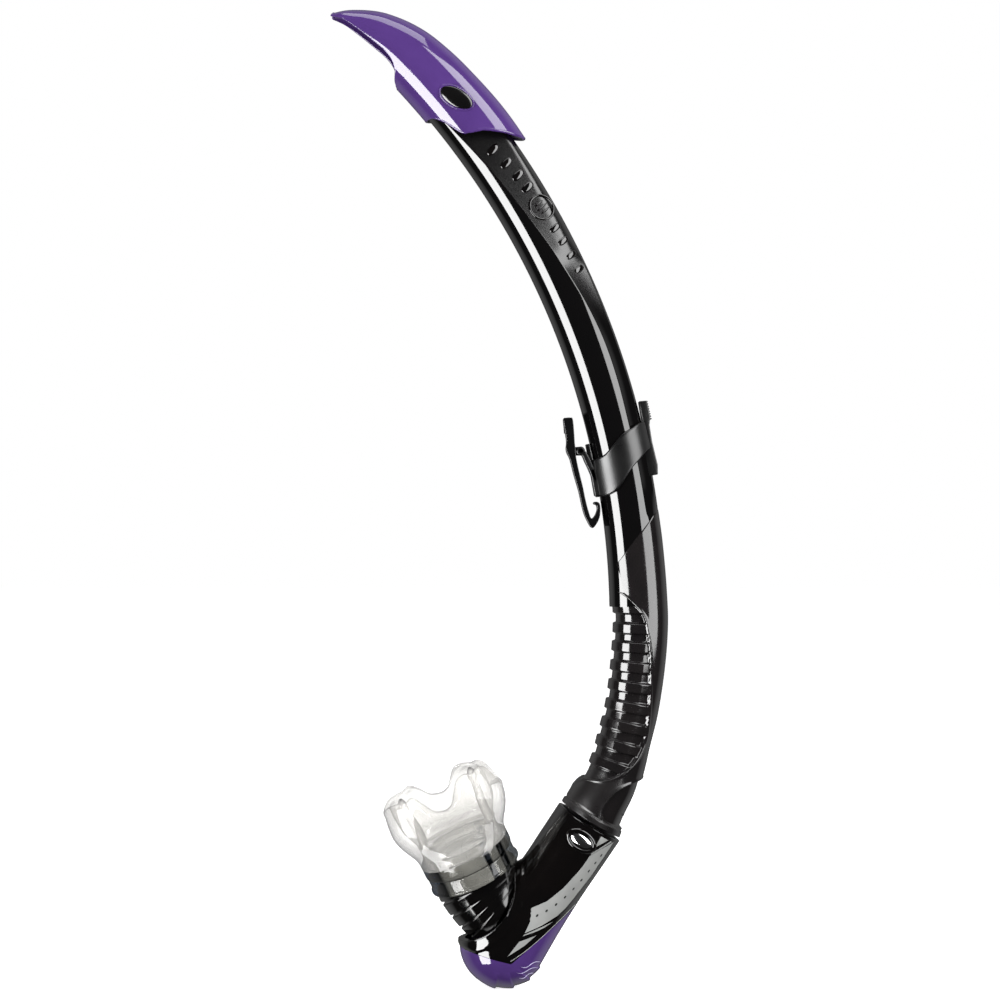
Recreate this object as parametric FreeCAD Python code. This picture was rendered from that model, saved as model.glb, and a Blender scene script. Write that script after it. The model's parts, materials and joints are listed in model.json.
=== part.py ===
import FreeCAD, Part
import math
import os
from FreeCAD import Vector as V

# Snorkel: curved oval barrel with a splash guard, a flex hose, a purge chamber, an elbow
# with a swivelling mouthpiece, and a strap keeper on the barrel. Units: millimetres.
# X runs fore and aft with the mouthpiece on the -X side, Z is up, Y is across the barrel.
# The working frame has Z = 0 at the lowest point. On export every part moves by -ORIGIN,
# which puts the origin on the keeper's flat strap seat.
# Angles are in degrees, measured in the XZ plane from +X towards +Z.
os.makedirs("parts", exist_ok=True)

# ---- barrel: an arc of constant oval section ----
ARC_X, ARC_Z = -301.0, 165.0      # centre of the arc
ARC_R = 363.9                     # centreline radius
BARREL_A, BARREL_B = 12.55, 10.0  # outer half-sizes: in the arc's plane, across it
BARREL_WALL = 1.6
BARREL_TOP, BARREL_BOTTOM = 42.4, 1.0    # end angles
SPIGOT_A, SPIGOT_B = 10.95, 8.4   # spigot that the hose slips over
SPIGOT_TOP = 12.0
LOW_BORE_A, LOW_BORE_B = 9.4, 6.9
LOW_BORE_TOP = 9.2                # angle where the wider main bore takes over
SHOULDER = V(50.2, 0, 187.65)     # point on the slanting shoulder above the spigot
SHOULDER_OUT = V(0.7873, 0, -0.6166)     # shoulder normal, towards the hose
CUT_Y = 30.0                      # half-width of cutters that pass right through a part

# ---- keeper position ----
KEEPER_ANGLE = 10.2               # middle of the strap seat
SEAT_R = 349.0                    # radius of the flat strap seat from the arc's centre
SEAT_SHIFT = -2.3                 # from the seat's middle to the origin, along the seat

# ---- chamber axis, shared by hose, coupling and chamber ----
MOUTH = V(41.25, 0, 74.15)        # centre of the chamber's mouth

Y_DIR = V(0, 1, 0)
SIDES = ((-1, "left"), (1, "right"))     # left is -Y


def unit(vector):
    result = V(vector)
    result.normalize()
    return result


def radial(angle):
    """Unit vector in the XZ plane at this angle from +X."""
    turn = math.radians(angle)
    return V(math.cos(turn), 0, math.sin(turn))


def tangent(angle):
    """Unit vector a quarter turn on from radial(angle)."""
    turn = math.radians(angle)
    return V(-math.sin(turn), 0, math.cos(turn))


def arc_point(radius, angle, y=0.0):
    """Point given by radius and angle about the centre of the barrel's arc."""
    return V(ARC_X, y, ARC_Z) + radial(angle) * radius


def arc_points(table):
    return [arc_point(radius, angle) for radius, angle in table]


def xz_points(table):
    return [V(x, 0, z) for x, z in table]


def oval_loop(center, u_dir, v_dir, half_u, half_v):
    """Closed spline through 16 points of an ellipse, for lofting."""
    count = 16
    points = []
    for i in range(count):
        t = 2 * math.pi * i / count
        points.append(center + u_dir * (half_u * math.cos(t)) + v_dir * (half_v * math.sin(t)))
    curve = Part.BSplineCurve()
    curve.interpolate(Points=points, PeriodicFlag=True)
    return Part.Wire(curve.toShape())


def xz_loop(x, z, u_dir, half_u, half_y):
    """Lofting section centred on the XZ plane."""
    return oval_loop(V(x, 0, z), u_dir, Y_DIR, half_u, half_y)


def ellipse_face(center, u_dir, v_dir, half_u, half_v):
    """Face inside an exact ellipse."""
    u_end, v_end = center + u_dir * half_u, center + v_dir * half_v
    if half_u >= half_v:
        curve = Part.Ellipse(u_end, v_end, center)
    else:
        curve = Part.Ellipse(v_end, u_end, center)
    return Part.Face(Part.Wire(curve.toShape()))


def oval_prism(center, u_dir, v_dir, depth_dir, half_u, half_v, depth):
    return ellipse_face(center, u_dir, v_dir, half_u, half_v).extrude(depth_dir * depth)


def loft(wires):
    return Part.makeLoft(wires, True, False)


def arc_sweep(half_radial, half_y, start, end):
    """Oval section carried round the barrel's arc between two angles."""
    face = ellipse_face(arc_point(ARC_R, start), radial(start), Y_DIR, half_radial, half_y)
    return face.revolve(V(ARC_X, 0, ARC_Z), V(0, -1, 0), end - start)


def spline(points):
    curve = Part.BSplineCurve()
    curve.interpolate(points)
    return curve.toShape()


def lines(points):
    return [Part.makeLine(start, end) for start, end in zip(points, points[1:])]


def prism(edges, y_min, y_max):
    """Closed outline of edges in the XZ plane, pushed from y_min to y_max."""
    face = Part.Face(Part.Wire(Part.__sortEdges__(edges)))
    face.translate(V(0, y_min, 0))
    return face.extrude(V(0, y_max - y_min, 0))


def polygon(points, y_min, y_max):
    return prism(lines(points + [points[0]]), y_min, y_max)


def y_cylinder(radius, length, center):
    """Cylinder along Y, centred on a point of the XZ plane."""
    return Part.makeCylinder(radius, length, center - Y_DIR * (length / 2), Y_DIR)


def tube(center, axis, start, outer_r, inner_r, height):
    """Round tube that begins at distance start along the axis."""
    base = center + axis * start
    outer = Part.makeCylinder(outer_r, height, base, axis)
    return outer.cut(Part.makeCylinder(inner_r, height + 2, base - axis, axis))


def shoulder_half_space(direction):
    """Large box on one side of the barrel's shoulder plane."""
    box = Part.makeBox(200, 120, 200)
    placement = FreeCAD.Placement(SHOULDER, FreeCAD.Rotation(V(0, 0, 1), direction))
    box.Placement = placement.multiply(FreeCAD.Placement(V(-100, -60, 0), FreeCAD.Rotation()))
    return box


def largest(shape):
    return max(shape.Solids, key=lambda solid: solid.Volume)


ORIGIN = arc_point(SEAT_R, KEEPER_ANGLE) + tangent(KEEPER_ANGLE) * SEAT_SHIFT


def save(shape, name):
    solids = shape.Solids
    if not solids:
        raise RuntimeError(name + " has no solid")
    shape = solids[0] if len(solids) == 1 else Part.makeCompound(solids)
    shape = shape.copy()
    shape.translate(-ORIGIN)
    shape.exportStep("parts/%s.step" % name)


# ======================= barrel and guard plugs =============================
PLUG_R, PLUG_ANGLE = 366.4, 39.5  # place of the plugs on the arc
PLUG_A, PLUG_B = 8.1, 3.95        # half-sizes of the plug's pocket in the guard
PLUG_LEAN = -29.8                 # angle of the plug's long axis
NECK_A, NECK_B = PLUG_A * 0.55, PLUG_B * 0.62    # plug's hole in the barrel
PLUG_INNER_Y = BARREL_B + 0.12    # inner face of the plug's head
HEAD_CLEAR, HEAD_DEPTH = 0.2, 2.55
NECK_CLEAR, NECK_REACH, NECK_DEPTH = 0.05, 3.2, 3.4


def plug_oval(y, y_sign, half_long, half_short, depth):
    return oval_prism(arc_point(PLUG_R, PLUG_ANGLE, y), radial(PLUG_LEAN), tangent(PLUG_LEAN),
                      V(0, y_sign, 0), half_long, half_short, depth)


def cut_plug_holes(shape, half_long, half_short):
    for side, _ in SIDES:
        hole = plug_oval(side * CUT_Y, -side, half_long, half_short, CUT_Y)
        shape = shape.cut(hole)
    return shape


def barrel_tube():
    full = arc_sweep(BARREL_A, BARREL_B, BARREL_BOTTOM, BARREL_TOP)
    spigot = arc_sweep(SPIGOT_A, SPIGOT_B, BARREL_BOTTOM, SPIGOT_TOP)
    bore = arc_sweep(BARREL_A - BARREL_WALL, BARREL_B - BARREL_WALL, 9.0, BARREL_TOP + 1)
    low_bore = arc_sweep(LOW_BORE_A, LOW_BORE_B, BARREL_BOTTOM - 1, LOW_BORE_TOP)
    barrel = full.cut(shoulder_half_space(SHOULDER_OUT)).fuse(spigot).cut(bore).cut(low_bore)
    return cut_plug_holes(barrel, NECK_A, NECK_B).removeSplitter()


def guard_plug(side):
    head = plug_oval(side * PLUG_INNER_Y, side, PLUG_A - HEAD_CLEAR, PLUG_B - HEAD_CLEAR,
                     HEAD_DEPTH)
    neck = plug_oval(side * (PLUG_INNER_Y - NECK_REACH), side,
                     NECK_A - NECK_CLEAR, NECK_B - NECK_CLEAR, NECK_DEPTH)
    return head.fuse(neck).removeSplitter()


save(barrel_tube(), "barrel_tube")
for side, side_name in SIDES:
    save(guard_plug(side), "guard_plug_" + side_name)

# ======================= splash guard =======================================
GUARD_WALL = 1.7
FIT_GAP = 0.05                    # collar inside guard, collar round plugs
BARREL_GAP = 0.1                  # guard and collar round the barrel

# angle, top radius, bottom radius, half-width in Y
GUARD = [
    (32.0, 380.4, 349.75, 12.35), (34.5, 381.1, 349.7, 12.45), (37.0, 381.3, 349.7, 12.6),
    (40.0, 380.4, 349.7, 12.65), (42.5, 379.2, 349.7, 12.5), (44.8, 376.9, 349.75, 11.9),
    (46.6, 373.0, 349.9, 10.9), (47.8, 369.2, 350.2, 9.8), (48.9, 364.0, 350.6, 8.2),
    (49.7, 359.3, 351.0, 6.2), (50.25, 354.9, 351.4, 3.6),
]
COLLAR = [(37.9, 381.0, 349.7, 12.6), (40.0, 380.4, 349.7, 12.65), (42.3, 379.3, 349.7, 12.5)]

# radius, angle
GUARD_RIM = [(350.0, 43.05), (351.0, 43.4), (354.1, 43.87), (356.3, 44.5), (357.3, 45.4),
             (356.9, 46.7), (356.3, 48.1), (355.3, 49.4), (353.0, 50.35)]
RIM_CORNERS = [(351.5, 52.5), (335, 52.5), (335, 43.0)]
SKIRT_INNER = [(346.0, 40.1), (350.0, 39.85), (352.7, 39.65), (355.9, 38.75), (358.4, 37.35)]
SKIRT_OUTER = [(358.4, 37.35), (363.0, 36.95), (367.8, 36.6), (374.6, 35.7), (380.7, 34.75),
               (386.0, 34.0)]
SKIRT_CORNERS = [(386, 29), (346, 29)]

# baffle: angle, half-size along the radius, half-size in Y
BAFFLE_OUTER_R, BAFFLE_OUTER = 368.4, [(43.4, 8.0, 9.9), (44.6, 6.6, 9.5)]
BAFFLE_INNER_R, BAFFLE_INNER = 367.4, [(43.3, 6.6, 8.5), (44.7, 5.2, 8.1)]
BAFFLE_TRIM = [(340, 42), (366, 42), (366, 46), (340, 46)]    # radius, angle
BAFFLE_LEG = [(369, 42.55), (372.5, 42.55), (372.5, 43.9), (369, 43.9)]
LEG_Y = (6.6, 7.9)


def guard_loft(stations, inset):
    return loft([oval_loop(arc_point((top + bottom) / 2, angle), radial(angle), Y_DIR,
                           (top - bottom) / 2 - inset, half_y - inset)
                 for angle, top, bottom, half_y in stations])


# The cavity starts 1 degree below the guard's lower end and stops short of its tip.
first_angle, *first_sizes = GUARD[0]
guard_cavity = guard_loft([(first_angle - 1.0, *first_sizes)] + GUARD[1:-1], GUARD_WALL)

# Everything below the guard's skirt line.
skirt_inner, skirt_outer = arc_points(SKIRT_INNER), arc_points(SKIRT_OUTER)
skirt_cut = prism(
    [spline(skirt_inner), spline(skirt_outer)]
    + lines([skirt_outer[-1]] + arc_points(SKIRT_CORNERS) + [skirt_inner[0]]), -CUT_Y, CUT_Y)


def splash_guard():
    rim = arc_points(GUARD_RIM)
    opening = prism([spline(rim)] + lines([rim[-1]] + arc_points(RIM_CORNERS) + [rim[0]]),
                    -CUT_Y, CUT_Y)
    barrel_room = arc_sweep(BARREL_A + BARREL_GAP, BARREL_B + BARREL_GAP, 30, BARREL_TOP + 0.4)
    guard = guard_loft(GUARD, 0).cut(guard_cavity).cut(opening).cut(skirt_cut).cut(barrel_room)
    return cut_plug_holes(guard, PLUG_A, PLUG_B)


def guard_collar():
    """Spacer between guard and barrel, over the barrel's upper end."""
    collar = guard_loft(COLLAR, GUARD_WALL + FIT_GAP)
    collar = collar.cut(arc_sweep(BARREL_A + BARREL_GAP, BARREL_B + BARREL_GAP, 36, 44))
    collar = collar.cut(skirt_cut)
    return cut_plug_holes(collar, PLUG_A + FIT_GAP, PLUG_B + FIT_GAP)


def splash_baffle():
    """Hollow baffle above the barrel's mouth, with a leg on each side."""
    def baffle_loft(radius, stations):
        return loft([oval_loop(arc_point(radius, angle), radial(angle), Y_DIR, half_r, half_y)
                     for angle, half_r, half_y in stations])

    baffle = baffle_loft(BAFFLE_OUTER_R, BAFFLE_OUTER)
    baffle = baffle.cut(baffle_loft(BAFFLE_INNER_R, BAFFLE_INNER))
    baffle = baffle.cut(polygon(arc_points(BAFFLE_TRIM), -CUT_Y, CUT_Y))
    for side, _ in SIDES:
        y_min, y_max = sorted(side * y for y in LEG_Y)
        baffle = baffle.fuse(polygon(arc_points(BAFFLE_LEG), y_min, y_max))
    return baffle.common(guard_cavity).removeSplitter()


save(splash_guard(), "splash_guard")
save(guard_collar(), "guard_collar")
save(splash_baffle(), "splash_baffle")

# ======================= hose ===============================================
# centre x, z, lean of the axis from +Z towards -X, half-size in plane, half-size in Y
HOSE = [
    (54.0, 235.0, 11.0, 12.9, 10.2), (58.6, 218.0, 8.4, 12.85, 10.2),
    (60.8, 204.9, 6.3, 12.8, 10.25), (62.5, 190.0, 4.0, 12.75, 10.35),
    (63.5, 178.0, 1.0, 12.7, 10.45), (64.1, 165.0, -1.5, 12.65, 10.5),
    (63.3, 150.0, -4.5, 12.65, 10.6), (61.9, 137.0, -7.5, 12.5, 10.7),
    (59.8, 124.0, -11.0, 12.4, 10.9), (56.5, 111.0, -16.0, 12.5, 11.3),
    (54.0, 101.0, -20.0, 12.75, 11.9), (50.5, 91.5, -25.5, 13.4, 13.0),
    (45.2, 82.5, -30.0, 14.3, 14.0), (41.9, 75.6, -32.1, 14.9, 14.4),
]
HOSE_BORE_FIRST = 5               # station where the lofted bore starts
HOSE_BORE_A, HOSE_BORE_B = 10.0, 8.3
FLARE_A, FLARE_B = 0.5, 1.9       # growth of the bore's half-sizes towards the lower end
FLARE_TOP, FLARE_HEIGHT = 150.0, 60.0
HOSE_NECK_A, HOSE_NECK_B = 9.3, 7.6      # bore just below the spigot

COUPLING_R = 13.3
NOSE_R = 11.55                    # part of the coupling that enters the hose

mouth_axis = unit(V(0.532, 0, 0.847))    # up towards the hose
mouth_u = unit(V(0.847, 0, -0.532))      # across the axis, towards +X


def flex_hose():
    outer = loft([xz_loop(x, z, radial(angle), half_u, half_y)
                  for x, z, angle, half_u, half_y in HOSE])
    bore = []
    for x, z, angle, _, _ in HOSE[HOSE_BORE_FIRST:]:
        flare = min(1.0, max(0.0, (FLARE_TOP - z) / FLARE_HEIGHT))
        bore.append(xz_loop(x, z, radial(angle),
                            HOSE_BORE_A + FLARE_A * flare, HOSE_BORE_B + FLARE_B * flare))
    # One more section beyond the hose's lower end.
    x, z, angle = HOSE[-1][:3]
    bore.append(oval_loop(V(x, 0, z) - tangent(angle) * 3, radial(angle), Y_DIR,
                          HOSE_BORE_A + FLARE_A, HOSE_BORE_B + FLARE_B))
    hose = outer.cut(shoulder_half_space(SHOULDER_OUT * -1))
    hose = hose.cut(loft(bore))
    hose = hose.cut(arc_sweep(SPIGOT_A, SPIGOT_B, BARREL_BOTTOM - 0.02, 13.0))
    hose = hose.cut(arc_sweep(HOSE_NECK_A, HOSE_NECK_B, -2.5, 3.0))
    # Pocket for the coupling's nose, then a flat end 0.1 above the chamber's mouth.
    hose = hose.cut(Part.makeCylinder(NOSE_R + 0.05, 13.1, MOUTH - mouth_axis, mouth_axis))
    hose = hose.cut(Part.makeCylinder(60, 60, MOUTH - mouth_axis * 59.9, mouth_axis))
    return largest(hose)


save(flex_hose(), "flex_hose")

# ======================= coupling and release buttons =======================
COUPLING_BORE_R = 9.6
COUPLING_DEPTH = 15.0             # reach into the chamber below the mouth
NOSE_LENGTH, NOSE_OVERLAP = 11.6, 0.1
GROOVE_START, GROOVE_WIDTH, GROOVE_DEPTH = -13.2, 2.2, 1.3
O_RING_INSET, O_RING_R = 0.35, 0.85

BUTTON_A, BUTTON_B = 5.6, 3.0     # half-sizes of the hole: across the axis, along it
BUTTON_HEAD_CLEAR, BUTTON_HEAD_Y, BUTTON_HEAD_DEPTH = 0.15, 9.2, 6.9
CROWN_R, CROWN_Y = 16.0, 16.35    # domed outer face: radius and outermost Y
BASE_Y, BASE_DEPTH = 6.9, 1.1
BASE_LIMIT_R = 9.5                # the base stays inside the coupling's bore
STEM_CLEAR, STEM_Y, STEM_DEPTH = 0.6, 7.5, 3.0

SPRING_A, SPRING_B = 8.2, 5.2     # outer half-sizes: across the axis, in Y
SPRING_STRIP, SPRING_WIDTH = 0.45, 3.0

# Centre between the buttons: a measured point moved onto the chamber's axis plane.
button_measured = V(36.3, 0, 68.2)
button_center = MOUTH - mouth_axis * (MOUTH - button_measured).dot(mouth_axis)


def coupling_tube(start, outer_r, inner_r, height):
    return tube(MOUTH, mouth_axis, start, outer_r, inner_r, height)


def button_oval(side, y, depth, half_u, half_axis):
    out = Y_DIR * side
    return oval_prism(button_center + out * y, mouth_u, mouth_axis, out,
                      half_u, half_axis, depth)


def cut_button_holes(shape, clearance):
    for side, _ in SIDES:
        hole = button_oval(side, 8, 12, BUTTON_A + clearance, BUTTON_B + clearance)
        shape = shape.cut(hole)
    return shape


def hose_coupling():
    coupling = coupling_tube(-COUPLING_DEPTH, COUPLING_R, COUPLING_BORE_R, COUPLING_DEPTH)
    coupling = coupling.fuse(coupling_tube(-NOSE_OVERLAP, NOSE_R, COUPLING_BORE_R, NOSE_LENGTH))
    coupling = coupling.removeSplitter()
    coupling = coupling.cut(coupling_tube(GROOVE_START, COUPLING_R + 1,
                                          COUPLING_R - GROOVE_DEPTH, GROOVE_WIDTH))
    return cut_button_holes(coupling, 0.05)


def coupling_o_ring():
    middle = MOUTH + mouth_axis * (GROOVE_START + GROOVE_WIDTH / 2)
    return Part.makeTorus(COUPLING_R - O_RING_INSET, O_RING_R, middle, mouth_axis)


def release_button(side):
    head = button_oval(side, BUTTON_HEAD_Y, BUTTON_HEAD_DEPTH,
                       BUTTON_A - BUTTON_HEAD_CLEAR, BUTTON_B - BUTTON_HEAD_CLEAR)
    crown_center = button_center + Y_DIR * (side * (CROWN_Y - CROWN_R))
    head = head.common(Part.makeSphere(CROWN_R, crown_center))
    base = button_oval(side, BASE_Y, BASE_DEPTH, BUTTON_A + 0.6, BUTTON_B + 0.9)
    base = base.common(Part.makeCylinder(BASE_LIMIT_R, 40, button_center - mouth_axis * 20,
                                         mouth_axis))
    stem = button_oval(side, STEM_Y, STEM_DEPTH, BUTTON_A - STEM_CLEAR, BUTTON_B - STEM_CLEAR)
    return head.fuse(stem).fuse(base).removeSplitter()


def button_spring():
    """C of flat strip between the buttons, open on the -X side."""
    outer = oval_prism(button_center - mouth_axis * (SPRING_WIDTH / 2), mouth_u, Y_DIR,
                       mouth_axis, SPRING_A, SPRING_B, SPRING_WIDTH)
    inner = oval_prism(button_center - mouth_axis * (SPRING_WIDTH / 2 + 1), mouth_u, Y_DIR,
                       mouth_axis, SPRING_A - SPRING_STRIP, SPRING_B - SPRING_STRIP,
                       SPRING_WIDTH + 2)
    gap = Part.makeBox(20, 5.0, 10, V(0, -2.5, -5))
    gap.Placement = FreeCAD.Placement(button_center,
                                      FreeCAD.Rotation(V(1, 0, 0), mouth_u * -1))
    return outer.cut(inner).cut(gap)


save(hose_coupling(), "hose_coupling")
save(coupling_o_ring(), "coupling_o_ring")
for side, side_name in SIDES:
    save(release_button(side), "release_button_" + side_name)
save(button_spring(), "button_spring")

# ======================= chamber ============================================
CHAMBER_WALL = 2.0
# centre x, z, half-size in plane, half-size in Y; the last station is the bulb's centre
ARM = [
    (MOUTH.x, MOUTH.z, 15.9, 15.4), (32.9, 61.7, 15.8, 15.5), (24.5, 49.3, 15.75, 15.7),
    (13.6, 34.6, 17.2, 16.3), (2.3, 19.3, 19.3, 16.9),
]
BULB_STEPS = (0.26, 0.49, 0.70, 0.86, 0.955, 0.992)   # shares of the bulb's radius
SOCKET = [(-11.0, 42.0, 17.4, 17.3), (-3.9, 34.6, 17.3, 17.1), (2.5, 28.0, 16.6, 16.3),
          (8.0, 22.4, 14.5, 14.0)]
SOCKET_HOLE = [(-18.0, 49.2, 17.3, 17.1), (-3.9, 34.6, 17.3, 17.1), (2.5, 28.0, 16.0, 15.7)]
SOCKET_WALL = 1.5
ELBOW_CUT_CENTER, ELBOW_CUT_R = V(-18.7, 0, 48.15), 26.1     # cylinder that trims the socket

# V-shaped joint between chamber body and purge cover
JOINT_START, JOINT_CORNER, JOINT_END = V(-15.5, 0, 22.05), V(7.0, 0, 12.15), V(35.3, 0, 36.9)
FLOOR = 1.8                       # thickness of the body's floor above the joint
COVER_GAP = 0.12

VALVE_A, VALVE_B = 7.0, 6.7       # half-sizes: along the joint, in Y
SPOKES = 6
SPOKE_RIM = 2.2                   # inset of the windows from VALVE_A, VALVE_B
HUB_R, SEAT_HOLE_R = 2.6, 1.55

# slots through the purge cover: x, z, turn about Y, length in Y
COVER_SLOTS = [(-5.2, 2.2, 20, 15.0), (5.0, -0.6, -14, 15.0), (14.0, 4.8, -46, 13.5)]
SLOT_WIDTH, SLOT_DEPTH = 2.4, 8.0

BADGE_DEPTH = 0.5
BADGE_Y = (2, 30)
BADGE_TOP = [(17.0, 37.0), (21.5, 38.4), (27.2, 41.2), (33.3, 46.5), (38.6, 52.6),
             (42.5, 58.0), (47.4, 63.0)]
BADGE_BOTTOM = [(50.3, 60.6), (45.6, 52.6), (39.5, 44.6), (32.5, 37.0), (25.5, 31.4),
                (16.2, 25.6)]
BADGE_END = [(14.9, 26.0), (16.0, 30.6), (17.0, 37.0)]

socket_u = unit(V(0.717, 0, 0.697))
joint_dir_1 = unit(JOINT_CORNER - JOINT_START)
joint_dir_2 = unit(JOINT_END - JOINT_CORNER)
joint_up_1 = V(-joint_dir_1.z, 0, joint_dir_1.x)
purge_out = V(joint_dir_2.z, 0, -joint_dir_2.x)       # outward direction of the valve
# The valve's measured centre is moved onto the joint line.
valve_measured = V(12.42, 0, 16.89)
valve_center = JOINT_CORNER + joint_dir_2 * (valve_measured - JOINT_CORNER).dot(joint_dir_2)


def arm_shape(inset, first=0):
    """Tapered arm that ends in the rounded bulb, as one smooth body."""
    wires = [xz_loop(x, z, mouth_u, half_u - inset, half_y - inset)
             for x, z, half_u, half_y in ARM[first:]]
    bulb_x, bulb_z, bulb_r, bulb_y = ARM[-1]
    radius = bulb_r - inset
    for step in BULB_STEPS:
        shrink = math.sqrt(1 - step * step)
        wires.append(oval_loop(V(bulb_x, 0, bulb_z) - mouth_axis * (radius * step),
                               mouth_u, Y_DIR, radius * shrink, (bulb_y - inset) * shrink))
    return loft(wires)


def joint_zone(lift):
    """Region below the V-shaped joint line, with the line raised by lift."""
    start = JOINT_START + joint_up_1 * lift
    end = JOINT_END - purge_out * lift
    span = end - start
    # Corner where the two raised lines meet.
    cross = joint_dir_2.x * joint_dir_1.z - joint_dir_1.x * joint_dir_2.z
    reach = (joint_dir_2.x * span.z - joint_dir_2.z * span.x) / cross
    corner = start + joint_dir_1 * reach
    left = start - joint_dir_1 * 30
    right = end + joint_dir_2 * 40
    return polygon([left, corner, right, right + purge_out * 80,
                    V(left.x - 10, 0, -60), V(left.x - 10, 0, left.z)], -40, 40)


def purge_oval(start, inset, depth):
    """Oval prism on the valve's axis, from start outwards."""
    return oval_prism(valve_center + purge_out * start, joint_dir_2, Y_DIR, purge_out,
                      VALVE_A - inset, VALVE_B - inset, depth)


arm_outer = arm_shape(0)
arm_inner = arm_shape(CHAMBER_WALL, 1)
cover_zone = joint_zone(0)
floor_zone = joint_zone(FLOOR)


def chamber_shell():
    """Chamber body before the badge recesses are cut."""
    socket = loft([xz_loop(x, z, socket_u, half_u, half_y) for x, z, half_u, half_y in SOCKET])
    body = arm_outer.fuse(socket)
    body = body.cut(y_cylinder(ELBOW_CUT_R, 100, ELBOW_CUT_CENTER))
    body = body.cut(cover_zone)
    body = body.cut(arm_inner.cut(floor_zone))
    body = body.cut(Part.makeCylinder(COUPLING_R + 0.09, 22.0, MOUTH - mouth_axis * 20.0,
                                      mouth_axis))
    elbow_hole = loft([xz_loop(x, z, socket_u, half_u - SOCKET_WALL, half_y - SOCKET_WALL)
                       for x, z, half_u, half_y in SOCKET_HOLE])
    body = body.cut(elbow_hole.cut(floor_zone))
    body = body.cut(purge_oval(-6, 0.4, 12))
    return largest(cut_button_holes(body, 0))


def badge(side, arm_recessed):
    """Thin inlay in the arm's flank."""
    y_min, y_max = sorted(side * y for y in BADGE_Y)
    top, bottom, end = xz_points(BADGE_TOP), xz_points(BADGE_BOTTOM), xz_points(BADGE_END)
    outline = prism([spline(top)] + lines([top[-1], bottom[0]]) + [spline(bottom)]
                    + lines([bottom[-1], end[0]]) + [spline(end)], y_min, y_max)
    return largest(arm_outer.common(outline).cut(arm_recessed).cut(cover_zone))


def spoke_window(index):
    """Opening between two neighbouring spokes of the purge seat."""
    pitch = 360 / SPOKES
    start = math.radians(pitch * index + 6)
    end = math.radians(pitch * index + 54)
    base = valve_center - purge_out * 3
    steps = 6

    def arc(begin, finish, half_u, half_y):
        turns = [begin + (finish - begin) * j / steps for j in range(steps + 1)]
        return [base + joint_dir_2 * (half_u * math.cos(t)) + Y_DIR * (half_y * math.sin(t))
                for t in turns]

    points = arc(start, end, VALVE_A - SPOKE_RIM, VALVE_B - SPOKE_RIM)
    points += arc(end, start, HUB_R, HUB_R)
    return Part.Face(Part.Wire(lines(points + [points[0]]))).extrude(purge_out * 6)


def purge_seat():
    """Spoked oval plate in the purge opening."""
    seat = purge_oval(-1.8, 0.45, 1.8)
    for index in range(SPOKES):
        seat = seat.cut(spoke_window(index))
    return seat.cut(Part.makeCylinder(SEAT_HOLE_R, 10, valve_center - purge_out * 5, purge_out))


def purge_valve():
    """Thin oval disc with a stem and a retaining bead."""
    disc = purge_oval(0.02, 0.8, 0.7)
    stem = Part.makeCylinder(1.4, 4.9, valve_center - purge_out * 4.4, purge_out)
    bead = Part.makeCone(1.1, 2.3, 1.2, valve_center - purge_out * 4.6, purge_out)
    return disc.fuse(stem).fuse(bead).removeSplitter()


def purge_cover():
    """Lower shell below the joint, with three slots and room for the valve."""
    cover = arm_outer.common(joint_zone(-COVER_GAP)).cut(arm_inner)
    for x, z, turn, length in COVER_SLOTS:
        slot = Part.makeBox(SLOT_WIDTH, length, SLOT_DEPTH,
                            V(-SLOT_WIDTH / 2, -length / 2, -SLOT_DEPTH / 2))
        slot.rotate(V(0, 0, 0), Y_DIR, turn)
        slot.translate(V(x, 0, z))
        cover = cover.cut(slot)
    return largest(cover).cut(purge_oval(-0.2, 0.6, 2.3))


chamber_body = chamber_shell()
arm_recessed = arm_shape(BADGE_DEPTH)
for side, side_name in SIDES:
    inlay = badge(side, arm_recessed)
    chamber_body = chamber_body.cut(inlay)
    save(inlay, "badge_" + side_name)
save(largest(chamber_body), "chamber_body")
save(purge_seat(), "purge_seat")
save(purge_valve(), "purge_valve")
save(purge_cover(), "purge_cover")

# ======================= elbow and swivel ===================================
SWIVEL = V(-10.0, 0, 51.5)        # centre of the swivel's lower face
SWIVEL_TILT = 12.0                # lean of the mouthpiece towards -Y
LOWER_H, UPPER_H = 7.0, 6.3       # heights of the two rings' bodies
RING_R = 20.4
FLANGE_H = 1.2
SEAL_R, SEAL_SECTION_R, SEAL_RISE = 18.82, 0.58, 0.62

# Swivel frame: swivel_u lies in the XZ plane, swivel_v is close to +Y.
tilt = math.radians(SWIVEL_TILT)
upright_axis = unit(V(-0.42, 0, 0.9075))
swivel_axis = unit(upright_axis * math.cos(tilt) + V(0, -math.sin(tilt), 0))
swivel_u = unit(V(upright_axis.z, 0, -upright_axis.x))
swivel_v = swivel_axis.cross(swivel_u)
bend_u = unit(V(0.82, 0, 0.572))  # in-plane direction of the elbow's second section

# lower sections of the elbow: centre x, z, in-plane direction, half-size in plane, in Y
ELBOW_OUTER = [(-7.1, 42.5, bend_u, 16.6, 16.5), (-3.9, 34.6, socket_u, 15.2, 15.0),
               (1.8, 28.8, socket_u, 14.3, 14.0)]
ELBOW_INNER = [(-7.1, 42.5, bend_u, 14.6, 14.5), (-3.9, 34.6, socket_u, 13.2, 13.0),
               (3.0, 27.6, socket_u, 12.5, 12.2)]

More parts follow.
